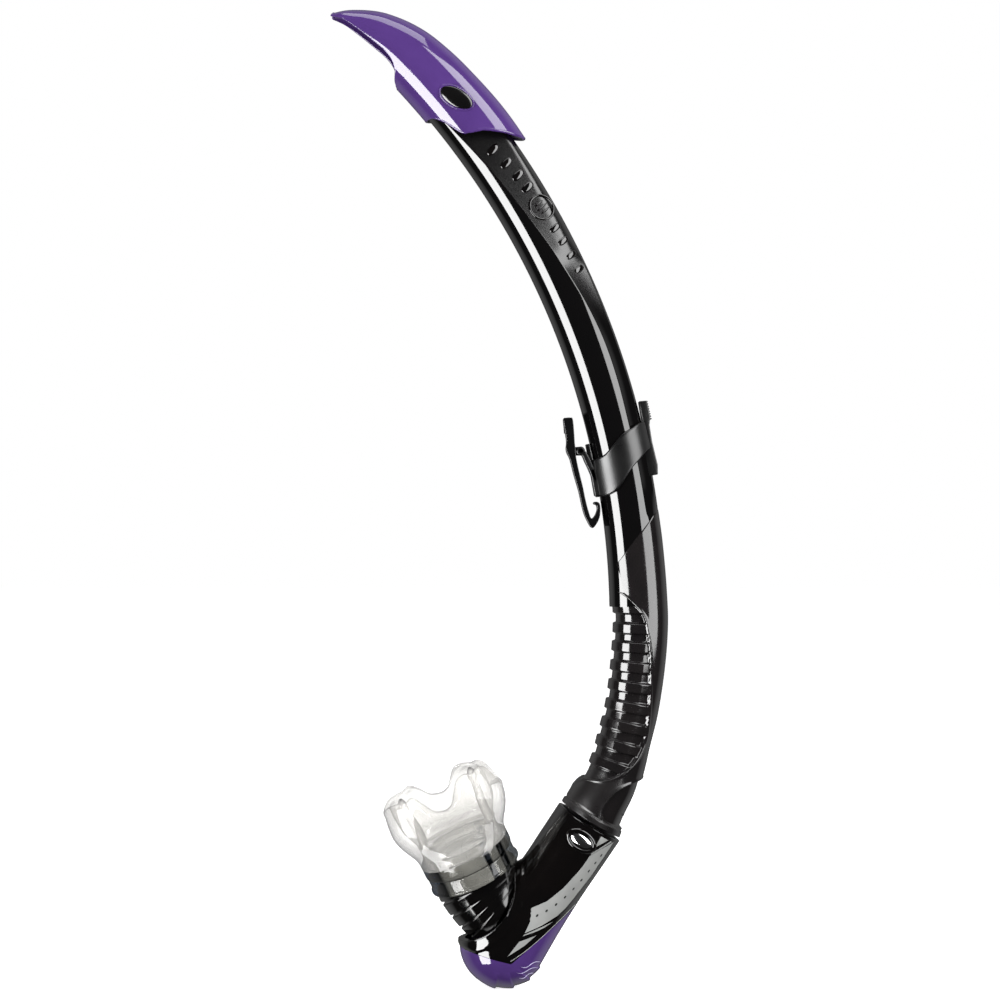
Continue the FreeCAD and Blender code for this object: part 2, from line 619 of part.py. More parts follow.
# start along the axis, outer radius, inner radius, height
LOWER_RING = [
    (0, 21.2, 16.0, FLANGE_H), (FLANGE_H, RING_R, 17.3, LOWER_H - FLANGE_H),
    (LOWER_H, 18.2, 16.2, 4.6), (FLANGE_H, 17.4, 16.0, LOWER_H - FLANGE_H),
    (LOWER_H + 3.2, 18.75, 16.2, 1.0),
]
UPPER_RING = (LOWER_H + 0.25, RING_R + 0.3, 18.3, UPPER_H - 0.25)
UPPER_GROOVES = [(LOWER_H + 2.9, 18.9, 18.0, 1.6), (LOWER_H, 19.45, 18.0, 1.55)]
UPPER_COLLARS = [(LOWER_H + UPPER_H, 17.5, 15.6, 2.2), (LOWER_H + UPPER_H - 0.8, 18.6, 15.6, 0.8)]


def elbow_loft(rise, radius, stations):
    """Loft from a circle on the swivel's axis down into the socket."""
    top = oval_loop(SWIVEL + swivel_axis * rise, swivel_u, swivel_v, radius, radius)
    return loft([top] + [xz_loop(*station) for station in stations])


def elbow_bellows():
    elbow = elbow_loft(0, 18.6, ELBOW_OUTER).cut(elbow_loft(1, 16.4, ELBOW_INNER))
    return largest(elbow.cut(cover_zone).cut(floor_zone))


def swivel_tube(row):
    return tube(SWIVEL, swivel_axis, *row)


def swivel_lower_ring():
    lower = swivel_tube(LOWER_RING[0])
    for row in LOWER_RING[1:]:
        lower = lower.fuse(swivel_tube(row))
    return lower.removeSplitter()


def swivel_upper_ring():
    upper = swivel_tube(UPPER_RING)
    for row in UPPER_GROOVES:
        upper = upper.cut(swivel_tube(row))
    for row in UPPER_COLLARS:
        upper = upper.fuse(swivel_tube(row))
    return upper.removeSplitter()


save(elbow_bellows(), "elbow_bellows")
save(swivel_lower_ring(), "swivel_lower_ring")
save(swivel_upper_ring(), "swivel_upper_ring")
save(Part.makeTorus(SEAL_R, SEAL_SECTION_R, SWIVEL + swivel_axis * (LOWER_H + SEAL_RISE),
                    swivel_axis), "swivel_seal")

# ======================= mouthpiece =========================================
LIP_SHIFT = 0.6                   # sideways shift of the lip end
# share of LIP_SHIFT, distance along the axis, half-width, half-height
SHIELD_OUTER = [(0, 0.0, 20.9, 20.4), (0.3, 4.0, 21.6, 18.6), (0.6, 9.0, 24.2, 16.0),
                (1, 14.0, 26.6, 15.4), (1, 19.0, 27.3, 15.6), (1, 24.5, 26.4, 15.2)]
SHIELD_INNER = [(0, -0.5, 17.65, 17.65), (0, 1.2, 17.7, 17.7), (0, 2.6, 17.75, 17.6),
                (0.4, 6.0, 19.2, 14.9), (0.6, 9.0, 21.6, 13.4), (1, 14.0, 24.4, 13.0),
                (1, 19.0, 25.3, 13.4), (1, 26.5, 24.6, 13.2)]
# bite tab: distance from the middle, distance along the axis, half-width, half-height
BITE_TAB = [(19.5, 9.0, 4.4, 13.0), (19.8, 18.0, 4.2, 11.0), (19.6, 26.0, 4.8, 8.6),
            (18.2, 32.0, 4.6, 6.2)]


def mouth_point(x, y, z):
    """Mouthpiece frame: x along its width, y its height, z along its axis."""
    base = SWIVEL + swivel_axis * (LOWER_H + UPPER_H)
    return base + swivel_u * x + swivel_v * y + swivel_axis * z


def mouth_loft(stations):
    """Loft of stations: x, z, half-width, half-height."""
    return loft([oval_loop(mouth_point(x, 0, z), swivel_u, swivel_v, half_x, half_y)
                 for x, z, half_x, half_y in stations])


def hollow_cutter(radius, z):
    """Cylinder along the height, for the hollow in the lip end."""
    return Part.makeCylinder(radius, 80, mouth_point(LIP_SHIFT, -40, z), swivel_v)


def mouthpiece():
    """Sleeve and lip shield in one shell, two bite tabs and a bridge between them."""
    outer, inner = (mouth_loft([(LIP_SHIFT * share, *rest) for share, *rest in table])
                    for table in (SHIELD_OUTER, SHIELD_INNER))
    mouth = outer.cut(inner).cut(hollow_cutter(17.0, 31.0))
    for side in (-1, 1):
        mouth = mouth.fuse(mouth_loft([(LIP_SHIFT + side * x, *rest) for x, *rest in BITE_TAB]))
    bridge = Part.makeBox(34.0, 1.6, 10.0, V(-17.0, 4.0, 12.5))
    bridge.Placement = FreeCAD.Placement(
        mouth_point(LIP_SHIFT, 0, 0),
        FreeCAD.Rotation(swivel_u, swivel_v, swivel_axis, "ZXY"))
    return largest(mouth.fuse(bridge.cut(hollow_cutter(13.0, 30.5))))


save(mouthpiece(), "mouthpiece")

# ======================= keeper =============================================
KEEPER_A, KEEPER_B = BARREL_A + 0.12, BARREL_B + 0.12    # bore, with clearance
KEEPER_WALL = 2.0
SEAT_LENGTH, SEAT_WIDTH, SEAT_DEPTH = 12.6, 12.0, 9
PIVOT = V(37.3, 0, 241.0)
KNUCKLE_R = 1.95
LEVER_W = 12.0
LUG_R, LUG_W = 2.0, 6.0
PIN_R = 1.0

# upper and lower edges of the band: x, z
BAND_TOP = [(39.0, 236.4), (43.6, 237.2), (47.8, 239.3), (50.9, 242.7), (55.7, 248.4),
            (59.6, 250.9), (64.1, 253.8), (68.1, 253.9), (73.0, 253.9)]
BAND_BOTTOM = [(75.0, 240.0), (70.2, 240.6), (68.1, 241.9), (66.4, 241.0), (63.0, 236.9),
               (59.6, 232.8), (54.2, 224.4), (51.5, 222.2), (47.9, 220.8), (40.0, 219.6)]
# radius, angle
SPINE = [(372.9, 9.95), (381.0, 9.95), (380.2, 12.4), (381.4, 13.6), (381.5, 15.05),
         (373.5, 15.05)]
STOP_TAB = [(349.3, 11.3), (349.5, 13.05), (354.0, 13.05), (354.0, 11.3)]
# x, z
PIVOT_ARM = [(37.9, 242.75), (39.6, 240.6), (41.3, 237.6), (42.3, 235.2), (44.6, 229.9),
             (46.4, 228.6), (44.6, 226.6), (42.6, 228.4), (40.7, 232.4), (39.1, 236.2),
             (37.6, 238.9), (36.3, 239.4)]
LEVER = [
    (29.5, 255.2), (30.1, 250.6), (30.9, 245.6), (30.7, 242.0), (31.2, 239.9), (32.5, 237.1),
    (34.2, 230.4), (36.5, 222.5), (38.4, 214.1), (40.4, 209.2), (42.4, 206.2),
    (44.4, 208.4), (45.7, 211.3), (46.1, 214.4), (45.8, 217.2), (44.4, 218.3), (43.0, 217.9),
    (43.3, 216.9), (44.5, 216.6), (44.7, 214.6), (43.7, 211.9), (42.1, 210.7), (40.9, 213.5),
    (39.4, 219.2), (38.25, 224.8), (36.6, 231.5), (35.5, 236.5),
    (35.15, 239.4), (35.0, 242.2), (34.6, 244.6), (34.3, 249.5), (33.6, 255.6),
]
LEVER_LUG = [(34.4, 242.7), (37.3, 243.0), (37.3, 239.0), (34.6, 239.0)]


def strap_seat():
    """Block on the band's -X side whose outer face is the flat strap seat."""
    middle = arc_point(SEAT_R, KEEPER_ANGLE)
    half = tangent(KEEPER_ANGLE) * (SEAT_LENGTH / 2)
    depth = radial(KEEPER_ANGLE) * SEAT_DEPTH
    return polygon([middle - half, middle + half, middle + half + depth,
                    middle - half + depth], -SEAT_WIDTH / 2, SEAT_WIDTH / 2)


def pivot_arm():
    """Forked arm that carries the lever's pin."""
    arm = polygon(xz_points(PIVOT_ARM) + [PIVOT], -LEVER_W / 2, LEVER_W / 2)
    arm = arm.fuse(y_cylinder(KNUCKLE_R, LEVER_W, PIVOT))
    return arm.cut(y_cylinder(KNUCKLE_R + 0.45, 6.4, PIVOT))


def keeper_band():
    sleeve = arc_sweep(KEEPER_A + KEEPER_WALL, KEEPER_B + KEEPER_WALL, 6.0, 18.0)
    top, bottom = xz_points(BAND_TOP), xz_points(BAND_BOTTOM)
    zone = prism([spline(top)] + lines([top[-1], bottom[0]]) + [spline(bottom)]
                 + lines([bottom[-1], top[0]]), -CUT_Y, CUT_Y)
    spine = polygon(arc_points(SPINE), -4.6, 4.6)
    stop_tab = polygon(arc_points(STOP_TAB), -3.4, 3.4)
    keeper = sleeve.common(zone).fuse(spine).fuse(strap_seat()).fuse(stop_tab).fuse(pivot_arm())
    keeper = keeper.cut(arc_sweep(KEEPER_A, KEEPER_B, 5.0, 19.0))
    keeper = keeper.cut(y_cylinder(PIN_R, 20, PIVOT))
    return largest(keeper).removeSplitter()


def keeper_lever():
    lever = polygon(xz_points(LEVER), -LEVER_W / 2, LEVER_W / 2)
    lug = y_cylinder(LUG_R, LUG_W, PIVOT)
    lug = lug.fuse(polygon(xz_points(LEVER_LUG), -LUG_W / 2, LUG_W / 2))
    lever = lever.fuse(lug).cut(y_cylinder(PIN_R + 0.04, 20, PIVOT))
    return largest(lever).removeSplitter()


save(keeper_band(), "keeper_band")
save(keeper_lever(), "keeper_lever")
save(y_cylinder(PIN_R, LEVER_W, PIVOT), "keeper_pin")
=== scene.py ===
"""Snorkel: an oval barrel on a circular arc, a splash guard on its top end, a ribbed flex hose,
a purge chamber with a bellows elbow, a swivelling mouthpiece and a strap keeper.

+Z is up. The barrel's arc lies in the XZ plane and its top leans towards -X; the body is
mirrored across Y = 0. "Left" pieces are at -Y, the side the camera looks from.
"""
import json
import math
import random

import bpy
import bmesh
import numpy as np
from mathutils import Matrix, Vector
from mathutils.bvhtree import BVHTree


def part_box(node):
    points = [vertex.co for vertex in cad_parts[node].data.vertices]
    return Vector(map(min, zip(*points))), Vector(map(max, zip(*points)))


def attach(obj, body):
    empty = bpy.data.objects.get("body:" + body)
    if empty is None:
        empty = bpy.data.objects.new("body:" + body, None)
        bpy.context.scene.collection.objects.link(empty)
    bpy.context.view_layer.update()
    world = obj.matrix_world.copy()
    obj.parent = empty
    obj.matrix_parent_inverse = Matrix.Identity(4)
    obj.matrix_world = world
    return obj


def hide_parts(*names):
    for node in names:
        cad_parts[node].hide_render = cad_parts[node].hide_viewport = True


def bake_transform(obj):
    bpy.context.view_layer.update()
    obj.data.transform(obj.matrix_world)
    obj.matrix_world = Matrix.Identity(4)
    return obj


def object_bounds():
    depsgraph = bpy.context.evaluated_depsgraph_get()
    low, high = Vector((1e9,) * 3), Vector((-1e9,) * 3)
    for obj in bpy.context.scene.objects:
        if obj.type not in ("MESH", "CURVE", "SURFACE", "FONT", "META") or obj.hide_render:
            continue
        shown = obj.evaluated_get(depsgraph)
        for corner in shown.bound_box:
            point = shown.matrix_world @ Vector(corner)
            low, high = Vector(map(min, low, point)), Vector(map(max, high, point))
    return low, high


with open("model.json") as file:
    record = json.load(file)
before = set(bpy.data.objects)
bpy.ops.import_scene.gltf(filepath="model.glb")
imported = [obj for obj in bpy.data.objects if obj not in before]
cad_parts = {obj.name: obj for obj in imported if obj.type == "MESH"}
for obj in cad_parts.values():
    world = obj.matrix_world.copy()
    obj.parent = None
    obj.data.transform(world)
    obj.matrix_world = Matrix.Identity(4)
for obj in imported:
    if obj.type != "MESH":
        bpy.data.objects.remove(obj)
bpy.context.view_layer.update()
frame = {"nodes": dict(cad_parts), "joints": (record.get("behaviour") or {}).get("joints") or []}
random.seed(7)

# ---------------------------------------------------------------------------
# Shared frame. Shapes are drawn in working millimetres, in which the barrel's
# arc is centred on ARC_CENTRE. The joints tell where that stands in the scene.
# ---------------------------------------------------------------------------
MM = 1000.0                        # millimetres in a metre
EX = np.array([1.0, 0.0, 0.0])
EY = np.array([0.0, 1.0, 0.0])
SIDES = ((-1, "left"), (1, "right"))
JOINTS = {joint["name"]: joint for joint in frame["joints"]}
ARC_CENTRE = np.array([-301.0, 0.0, 165.0])
OFFSET = ARC_CENTRE - np.array(JOINTS["keeper_slide"]["pos_m"], float) * MM


def unit(vector):
    return np.asarray(vector, float) / np.linalg.norm(vector)


def across_of(axis):
    """Square to an axis, within the XZ plane."""
    return np.array([axis[2], 0.0, -axis[0]])


def joint_point(name):
    return np.array(JOINTS[name]["pos_m"], float) * MM + OFFSET


def to_scene(points):
    return (np.asarray(points, float) - OFFSET) / MM


# barrel section: radius of its centre line, half-size along the radius, half-size in Y
ARC_R, BARREL_A, BARREL_B = 363.9, 12.55, 10.0
RING_CENTRE = joint_point("mouthpiece_swivel")
RING_AXIS = unit(JOINTS["mouthpiece_swivel"]["axis"])
RING_X = unit(across_of(RING_AXIS))
RING_Y = np.cross(RING_AXIS, RING_X)
PIVOT = joint_point("lever_open")


# Places on the arc are a radius and an angle phi in degrees, from +X towards +Z.
def outward(phi):
    angle = np.radians(phi)
    return np.stack([np.cos(angle), np.zeros_like(angle), np.sin(angle)], -1)


def upward(phi):
    angle = np.radians(phi)
    return np.stack([-np.sin(angle), np.zeros_like(angle), np.cos(angle)], -1)


def arc_point(radius, phi, y=0.0):
    radius, phi, y = np.broadcast_arrays(*(np.asarray(v, float) for v in (radius, phi, y)))
    points = ARC_CENTRE + outward(phi) * radius[..., None]
    points[..., 1] += y
    return points


def arc_coords(points):
    """Radius and phi of points."""
    rel = np.asarray(points, float) - ARC_CENTRE
    return np.hypot(rel[..., 0], rel[..., 2]), np.degrees(np.arctan2(rel[..., 2], rel[..., 0]))


def ease(start, end, value):
    """0 at start, 1 at end, with soft ends; start may be the larger."""
    part = np.clip((np.asarray(value, float) - start) / (end - start), 0, 1)
    return part * part * (3 - 2 * part)


def bell(value, centre, width):
    return np.exp(-((value - centre) / width) ** 2)


def curve(knots, values, where):
    """Smooth curve through (knots, values); values may have several columns."""
    knots, values = np.asarray(knots, float), np.asarray(values, float)
    single = values.ndim == 1
    if single:
        values = values[:, None]
    where = np.clip(np.asarray(where, float), knots[0], knots[-1])
    slope = np.gradient(values, knots, axis=0)
    left = np.clip(np.searchsorted(knots, where) - 1, 0, len(knots) - 2)
    right = left + 1
    span = (knots[right] - knots[left])[..., None]
    part = ((where - knots[left]) / (knots[right] - knots[left]))[..., None]
    out = ((2 * part**3 - 3 * part**2 + 1) * values[left]
           + (part**3 - 2 * part**2 + part) * span * slope[left]
           + (-2 * part**3 + 3 * part**2) * values[right]
           + (part**3 - part**2) * span * slope[right])
    return out[..., 0] if single else out


def smooth_line(points, steps, closed=True):
    """Catmull-Rom line through the points, with a number of steps between neighbours."""
    points = np.asarray(points, float)
    count = len(points)
    out = []
    for i in range(count if closed else count - 1):
        near = [i + k for k in (-1, 0, 1, 2)]
        near = [k % count if closed else min(max(k, 0), count - 1) for k in near]
        before, here, after, beyond = points[near]
        for j in range(steps):
            part = j / steps
            out.append(0.5 * ((2 * here) + (-before + after) * part
                              + (2 * before - 5 * here + 4 * after - beyond) * part * part
                              + (-before + 3 * here - 3 * after + beyond) * part**3))
    if not closed:
        out.append(points[-1])
    return np.array(out)


def turn(count):
    return np.linspace(0, 2 * np.pi, count, endpoint=False)


def oval(centre, across, along, half_across, half_along, count):
    angle = turn(count)
    return (centre + across * (half_across * np.cos(angle))[:, None]
            + along * (half_along * np.sin(angle))[:, None])


# ---------------------------------------------------------------------------
# mesh makers
# ---------------------------------------------------------------------------
def link_object(name, mesh):
    obj = bpy.data.objects.new(name, mesh)
    bpy.context.scene.collection.objects.link(obj)
    return obj


def make(name, verts, faces, mat):
    mesh = bpy.data.meshes.new(name)
    places = to_scene(np.asarray(verts, float).reshape(-1, 3))
    mesh.from_pydata(places.tolist(), [], [list(map(int, face)) for face in faces])
    mesh.update()
    obj = link_object(name, mesh)
    if mat is not None:
        mesh.materials.append(mat)
    mesh.shade_smooth()
    return obj


def grid(name, points, mat, wrap=True, caps=False, attrs=None):
    """Skin over rows of points; wrap closes each row, caps closes the two end rows."""
    rows, cols = points.shape[:2]
    i, j = np.meshgrid(np.arange(rows - 1), np.arange(cols if wrap else cols - 1), indexing="ij")
    after = (j + 1) % cols
    corners = [i * cols + j, i * cols + after, (i + 1) * cols + after, (i + 1) * cols + j]
    faces = np.stack(corners, -1).reshape(-1, 4).tolist()
    if caps:
        faces.append(list(range(cols))[::-1])
        faces.append(list(range((rows - 1) * cols, rows * cols)))
    obj = make(name, points, faces, mat)
    for key, values in (attrs or {}).items():
        attr = obj.data.attributes.new(key, "FLOAT", "POINT")
        attr.data.foreach_set("value", np.asarray(values, np.float32).ravel())
    return obj


def tidy(obj, merge=None):
    """Turns the faces outward, after merging points closer than merge (metres)."""
    work = bmesh.new()
    work.from_mesh(obj.data)
    if merge is not None:
        bmesh.ops.remove_doubles(work, verts=work.verts, dist=merge)
    bmesh.ops.recalc_face_normals(work, faces=work.faces)
    work.to_mesh(obj.data)
    work.free()
    return obj


def weld(obj, merge=0.00002):
    tidy(obj, merge)
    obj.data.shade_smooth()
    return obj


def shade(obj, angle):
    obj.data.shade_smooth()
    obj.data.set_sharp_from_angle(angle=math.radians(angle))
    return obj


def tube(name, path, radius, mat, closed=False, sides=10):
    """Round bead along a path; radius may vary from point to point."""
    path = np.asarray(path, float)
    count = len(path)
    if closed:
        ahead = np.roll(path, -1, 0) - np.roll(path, 1, 0)
    else:
        ahead = np.gradient(path, axis=0)
    ahead /= np.linalg.norm(ahead, axis=1)[:, None]
    across = np.zeros_like(path)
    last = np.cross(ahead[0], EY)
    if np.linalg.norm(last) < 0.1:
        last = np.cross(ahead[0], EX)
    for i in range(count):
        last = last - ahead[i] * (last @ ahead[i])
        last /= np.linalg.norm(last)
        across[i] = last
    other = np.cross(ahead, across)
    radius = np.broadcast_to(np.asarray(radius, float), (count,))[:, None, None]
    angle = turn(sides)[None, :, None]
    points = (path[:, None] + across[:, None] * np.cos(angle) * radius
              + other[:, None] * np.sin(angle) * radius)
    if closed:
        points = np.concatenate([points, points[:1]], 0)
    obj = grid(name, points, mat, caps=not closed)
    return weld(obj) if closed else obj


def apply(obj):
    """Bakes the modifiers into the mesh."""
    graph = bpy.context.evaluated_depsgraph_get()
    mesh = bpy.data.meshes.new_from_object(obj.evaluated_get(graph), preserve_all_data_layers=True,
                                           depsgraph=graph)
    old = obj.data
    obj.modifiers.clear()
    obj.data = mesh
    bpy.data.meshes.remove(old)
    mesh.name = obj.name
    return obj


def thicken(obj, thickness):
    """Gives a skin a wall (metres) on its inner side."""
    mod = obj.modifiers.new("wall", "SOLIDIFY")
    mod.thickness = thickness
    mod.offset = -1
    return apply(obj)


def extrude(name, outline, y_start, y_end, mat, bevel=0.4):
    """XZ outline pushed along Y, with its edges rounded by bevel."""
    outline = np.asarray(outline, float)
    count = len(outline)
    ends = [np.stack([outline[:, 0], np.full(count, y), outline[:, 1]], -1)
            for y in (y_start, y_end)]
    faces = [list(range(count)), list(range(2 * count - 1, count - 1, -1))]
    faces += [[i, i + count, (i + 1) % count + count, (i + 1) % count] for i in range(count)]
    obj = tidy(make(name, np.concatenate(ends), faces, mat))
    if bevel:
        mod = obj.modifiers.new("edge", "BEVEL")
        mod.width = bevel / MM
        mod.segments = 3
        mod.limit_method = "ANGLE"
        mod.angle_limit = math.radians(40)
        mod.use_clamp_overlap = True
        apply(obj)
    return shade(obj, 50)


def stack(name, sections, mat=None, sides=96):
    """Closed skin through oval sections: (centre, across, along, half_across, half_along)."""
    points = np.array([oval(*section, sides) for section in sections])
    return tidy(grid(name, points, mat, caps=True))


def cylinder(name, centre, axis, radius, length, sides):
    across = unit(np.cross(axis, EY)) if abs(axis @ EY) < 0.9 else EX
    along = np.cross(axis, across)
    ends = [centre - axis * length / 2, centre + axis * length / 2]
    return stack(name, [(end, across, along, radius, radius) for end in ends], sides=sides)


def boolean(obj, other, operation="DIFFERENCE"):
    """Combines obj with other, which is used up."""
    bpy.context.view_layer.update()
    mod = obj.modifiers.new("b", "BOOLEAN")
    mod.operation = operation
    mod.object = other
    mod.solver = "EXACT"
    apply(obj)
    bpy.data.objects.remove(other)
    return obj


def join(name, parts, mat):
    """One mesh from several, which are used up."""
    work = bmesh.new()
    for part in parts:
        work.from_mesh(part.data)
    mesh = bpy.data.meshes.new(name)
    work.to_mesh(mesh)
    work.free()
    mesh.materials.append(mat)
    for part in parts:
        bpy.data.objects.remove(part)
    return link_object(name, mesh)


def add_bump(verts, faces, centre, axes, half_sizes, height, power=2.0):
    """Adds a low rounded boss to the lists; axes are (across, along, normal)."""
    rings, seg = 7, 26
    across, along, normal = axes
    first = len(verts)

    def squared(value):
        return abs(value) ** (2 / power) * math.copysign(1, value)

    for i in range(rings + 1):
        part = i / rings
        size = math.cos(part * math.pi / 2) ** (2 / power)
        lift = math.sin(part * math.pi / 2) ** (2 / power)
        for j in range(seg):
            angle = 2 * math.pi * j / seg
            verts.append(centre + across * (half_sizes[0] * size * squared(math.cos(angle)))
                         + along * (half_sizes[1] * size * squared(math.sin(angle)))
                         + normal * (height * lift - 0.25 * (1 - part)))
    for i in range(rings):
        for j in range(seg):
            after = (j + 1) % seg
            corners = (i * seg + j, i * seg + after, (i + 1) * seg + after, (i + 1) * seg + j)
            faces.append([first + k for k in corners])


def dome(name, centre, axes, half_sizes, height, mat):
    """Oval cap with a short skirt; axes are (across, along, normal)."""
    rings, seg = 16, 72
    skirt, fullness = 1.2, 0.92
    across, along, normal = axes
    rows = []
    for i in range(rings + 1):
        size = math.sin(i / rings * math.pi / 2)
        z = height * math.sqrt(1 - (size * fullness) ** 2)
        if i == rings:
            z -= skirt
        ring = oval(centre, across, along, half_sizes[0] * size, half_sizes[1] * size, seg)
        rows.append(ring + normal * z)
    return shade(weld(grid(name, np.array(rows), mat)), 60)


def cross_rib(centre, half_length, radius, mat):
    """Bead lying along Y."""
    path = [centre + EY * y for y in np.linspace(-half_length, half_length, 7)]
    return tube("rib", np.array(path), radius, mat, sides=8)


def place(obj, rides, replaces=None):
    """Tells the frame what carries the object and what it replaces."""
    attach(obj, rides)
    if replaces:
        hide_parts(replaces)


# ---------------------------------------------------------------------------
# shader helpers
# ---------------------------------------------------------------------------
MID = (0.3, 0.7)                   # range that most of a noise texture's values fall in


def new_material(name):
    mat = bpy.data.materials.new(name)
    mat.use_nodes = True
    return mat, mat.node_tree, mat.node_tree.nodes["Principled BSDF"]


def add_node(tree, kind, **values):
    node = tree.nodes.new(kind)
    for key, value in values.items():
        if key in node.inputs:
            node.inputs[key].default_value = value
        else:
            setattr(node, key, value)
    return node


def feed(tree, socket, source):
    """Sets a socket to a number, or links it to an output."""
    if isinstance(source, (int, float)):
        socket.default_value = source
    else:
        tree.links.new(source, socket)


def noise(tree, scale, detail=4.0, rough=0.55, stretch=None):
    source = add_node(tree, "ShaderNodeTexCoord").outputs["Object"]
    if stretch is not None:
        mapping = add_node(tree, "ShaderNodeMapping", Scale=stretch)
        tree.links.new(source, mapping.inputs["Vector"])
        source = mapping.outputs["Vector"]
    node = add_node(tree, "ShaderNodeTexNoise", Scale=scale, Detail=detail, Roughness=rough)
    tree.links.new(source, node.inputs["Vector"])
    return node.outputs["Fac"]


def ranged(tree, source, out, span=MID):
    """Maps source from span to out, held at both ends."""
    node = add_node(tree, "ShaderNodeMapRange")
    node.inputs["From Min"].default_value, node.inputs["From Max"].default_value = span
    node.inputs["To Min"].default_value, node.inputs["To Max"].default_value = out
    tree.links.new(source, node.inputs["Value"])
    return node.outputs["Result"]


def mix_color(tree, factor, first, second):
    node = add_node(tree, "ShaderNodeMix")
    node.data_type = "RGBA"
    node.inputs["A"].default_value = (*first, 1)
    node.inputs["B"].default_value = (*second, 1)
    tree.links.new(factor, node.inputs["Factor"])
    return node.outputs["Result"]


def mix_values(tree, factor, first, second):
    node = add_node(tree, "ShaderNodeMix")
    for key, source in (("Factor", factor), ("A", first), ("B", second)):
        tree.links.new(source, node.inputs[key])
    return node.outputs["Result"]


def mix_shaders(tree, factor, first, second):
    node = add_node(tree, "ShaderNodeMixShader")
    feed(tree, node.inputs[0], factor)
    tree.links.new(first, node.inputs[1])
    tree.links.new(second, node.inputs[2])
    return node.outputs[0]


def calc(tree, operation, first, second):
    node = add_node(tree, "ShaderNodeMath")
    node.operation = operation
    feed(tree, node.inputs[0], first)
    feed(tree, node.inputs[1], second)
    return node.outputs[0]


def grey_ramp(tree, source, stops):
    """Grey level by position, from (position, level) stops."""
    node = add_node(tree, "ShaderNodeValToRGB")
    elements = node.color_ramp.elements
    while len(elements) < len(stops):
        elements.new(0.5)
    for element, (position, level) in zip(elements, stops):
        element.position = position
        element.color = (level, level, level, 1)
    tree.links.new(source, node.inputs[0])
    return node.outputs[0]


def bump(tree, height, distance, strength, under=None):
    """Bump of a height source, distance in metres, over another bump."""
    node = add_node(tree, "ShaderNodeBump", Strength=strength, Distance=distance)
    tree.links.new(height, node.inputs["Height"])
    if under is not None:
        tree.links.new(under, node.inputs["Normal"])
    return node.outputs["Normal"]


def satin_mask(tree):
    return add_node(tree, "ShaderNodeAttribute", attribute_name="satin").outputs["Fac"]


# ---------------------------------------------------------------------------
# materials
# ---------------------------------------------------------------------------
def plastic(name, dark, light, rough, grain=0.0, wave=0.00004, ior=1.5, speck=0.0):
    """Smeared plastic: grain is the strength of a blasted texture, speck that of dull dust."""
    mat, tree, bsdf = new_material(name)
    smear = noise(tree, scale=38.0, detail=5.0, rough=0.6)
    bsdf.inputs["IOR"].default_value = ior
    colour = mix_color(tree, ranged(tree, smear, out=(0, 1)), dark, light)
    tree.links.new(colour, bsdf.inputs["Base Color"])
    roughness = ranged(tree, smear, out=rough, span=(0.3, 0.72))
    if speck:
        dust = noise(tree, scale=1500.0, detail=2.0, rough=0.5)
        dust = ranged(tree, dust, out=(0.0, speck), span=(0.70, 0.78))
        roughness = calc(tree, "ADD", roughness, dust)
    tree.links.new(roughness, bsdf.inputs["Roughness"])
    bsdf.inputs["Coat Roughness"].default_value = 0.04
    waves = bump(tree, noise(tree, scale=55.0, detail=2.0), distance=wave, strength=0.5)
    if grain:
        fine = bump(tree, noise(tree, scale=2600.0, detail=2.0, rough=0.6),
                    distance=0.00003, strength=grain, under=waves)
    else:
        fine = bump(tree, noise(tree, scale=900.0, detail=3.0),
                    distance=0.000004, strength=0.25, under=waves)
    tree.links.new(fine, bsdf.inputs["Normal"])
    return mat


def barrel_black():
    """Polished black, with a blasted satin field where the satin attribute says so."""
    mat, tree, bsdf = new_material("black_gloss_barrel")
    mask = satin_mask(tree)
    smear = noise(tree, scale=42.0, detail=5.0, rough=0.6)
    gloss = ranged(tree, smear, out=(0.03, 0.075))
    satin = ranged(tree, smear, out=(0.19, 0.27))
    tree.links.new(mix_values(tree, mask, gloss, satin), bsdf.inputs["Roughness"])
    colour = mix_color(tree, smear, first=(0.0014, 0.0014, 0.0016), second=(0.0026, 0.0023, 0.0023))
    tree.links.new(colour, bsdf.inputs["Base Color"])
    bsdf.inputs["IOR"].default_value = 1.52
    grain = calc(tree, "MULTIPLY", noise(tree, scale=2400.0, detail=2.0, rough=0.6), mask)
    waves = bump(tree, noise(tree, scale=45.0, detail=2.0), distance=0.00005, strength=0.5)
    fine = bump(tree, grain, distance=0.00004, strength=0.5, under=waves)
    tree.links.new(fine, bsdf.inputs["Normal"])
    return mat


def hose_silicone():
    """Dusty black silicone, satin where the satin attribute says so."""
    mat, tree, bsdf = new_material("silicone_hose")
    mask = satin_mask(tree)
    smear = noise(tree, scale=60.0, detail=5.0, rough=0.6)
    gloss = ranged(tree, smear, out=(0.05, 0.14))
    satin = ranged(tree, smear, out=(0.22, 0.36))
    finish = mix_values(tree, mask, gloss, satin)
    dust = noise(tree, scale=1400.0, detail=2.0, rough=0.5)
    dust = ranged(tree, dust, out=(0.0, 0.2), span=(0.69, 0.78))
    tree.links.new(calc(tree, "ADD", finish, dust), bsdf.inputs["Roughness"])
    colour = mix_color(tree, smear, first=(0.004, 0.004, 0.0045), second=(0.012, 0.010, 0.010))
    tree.links.new(colour, bsdf.inputs["Base Color"])
    waves = bump(tree, noise(tree, scale=60.0, detail=3.0), distance=0.00010, strength=0.5)
    fine = bump(tree, noise(tree, scale=1300.0, detail=2.0),
                distance=0.000008, strength=0.3, under=waves)
    tree.links.new(fine, bsdf.inputs["Normal"])
    return mat


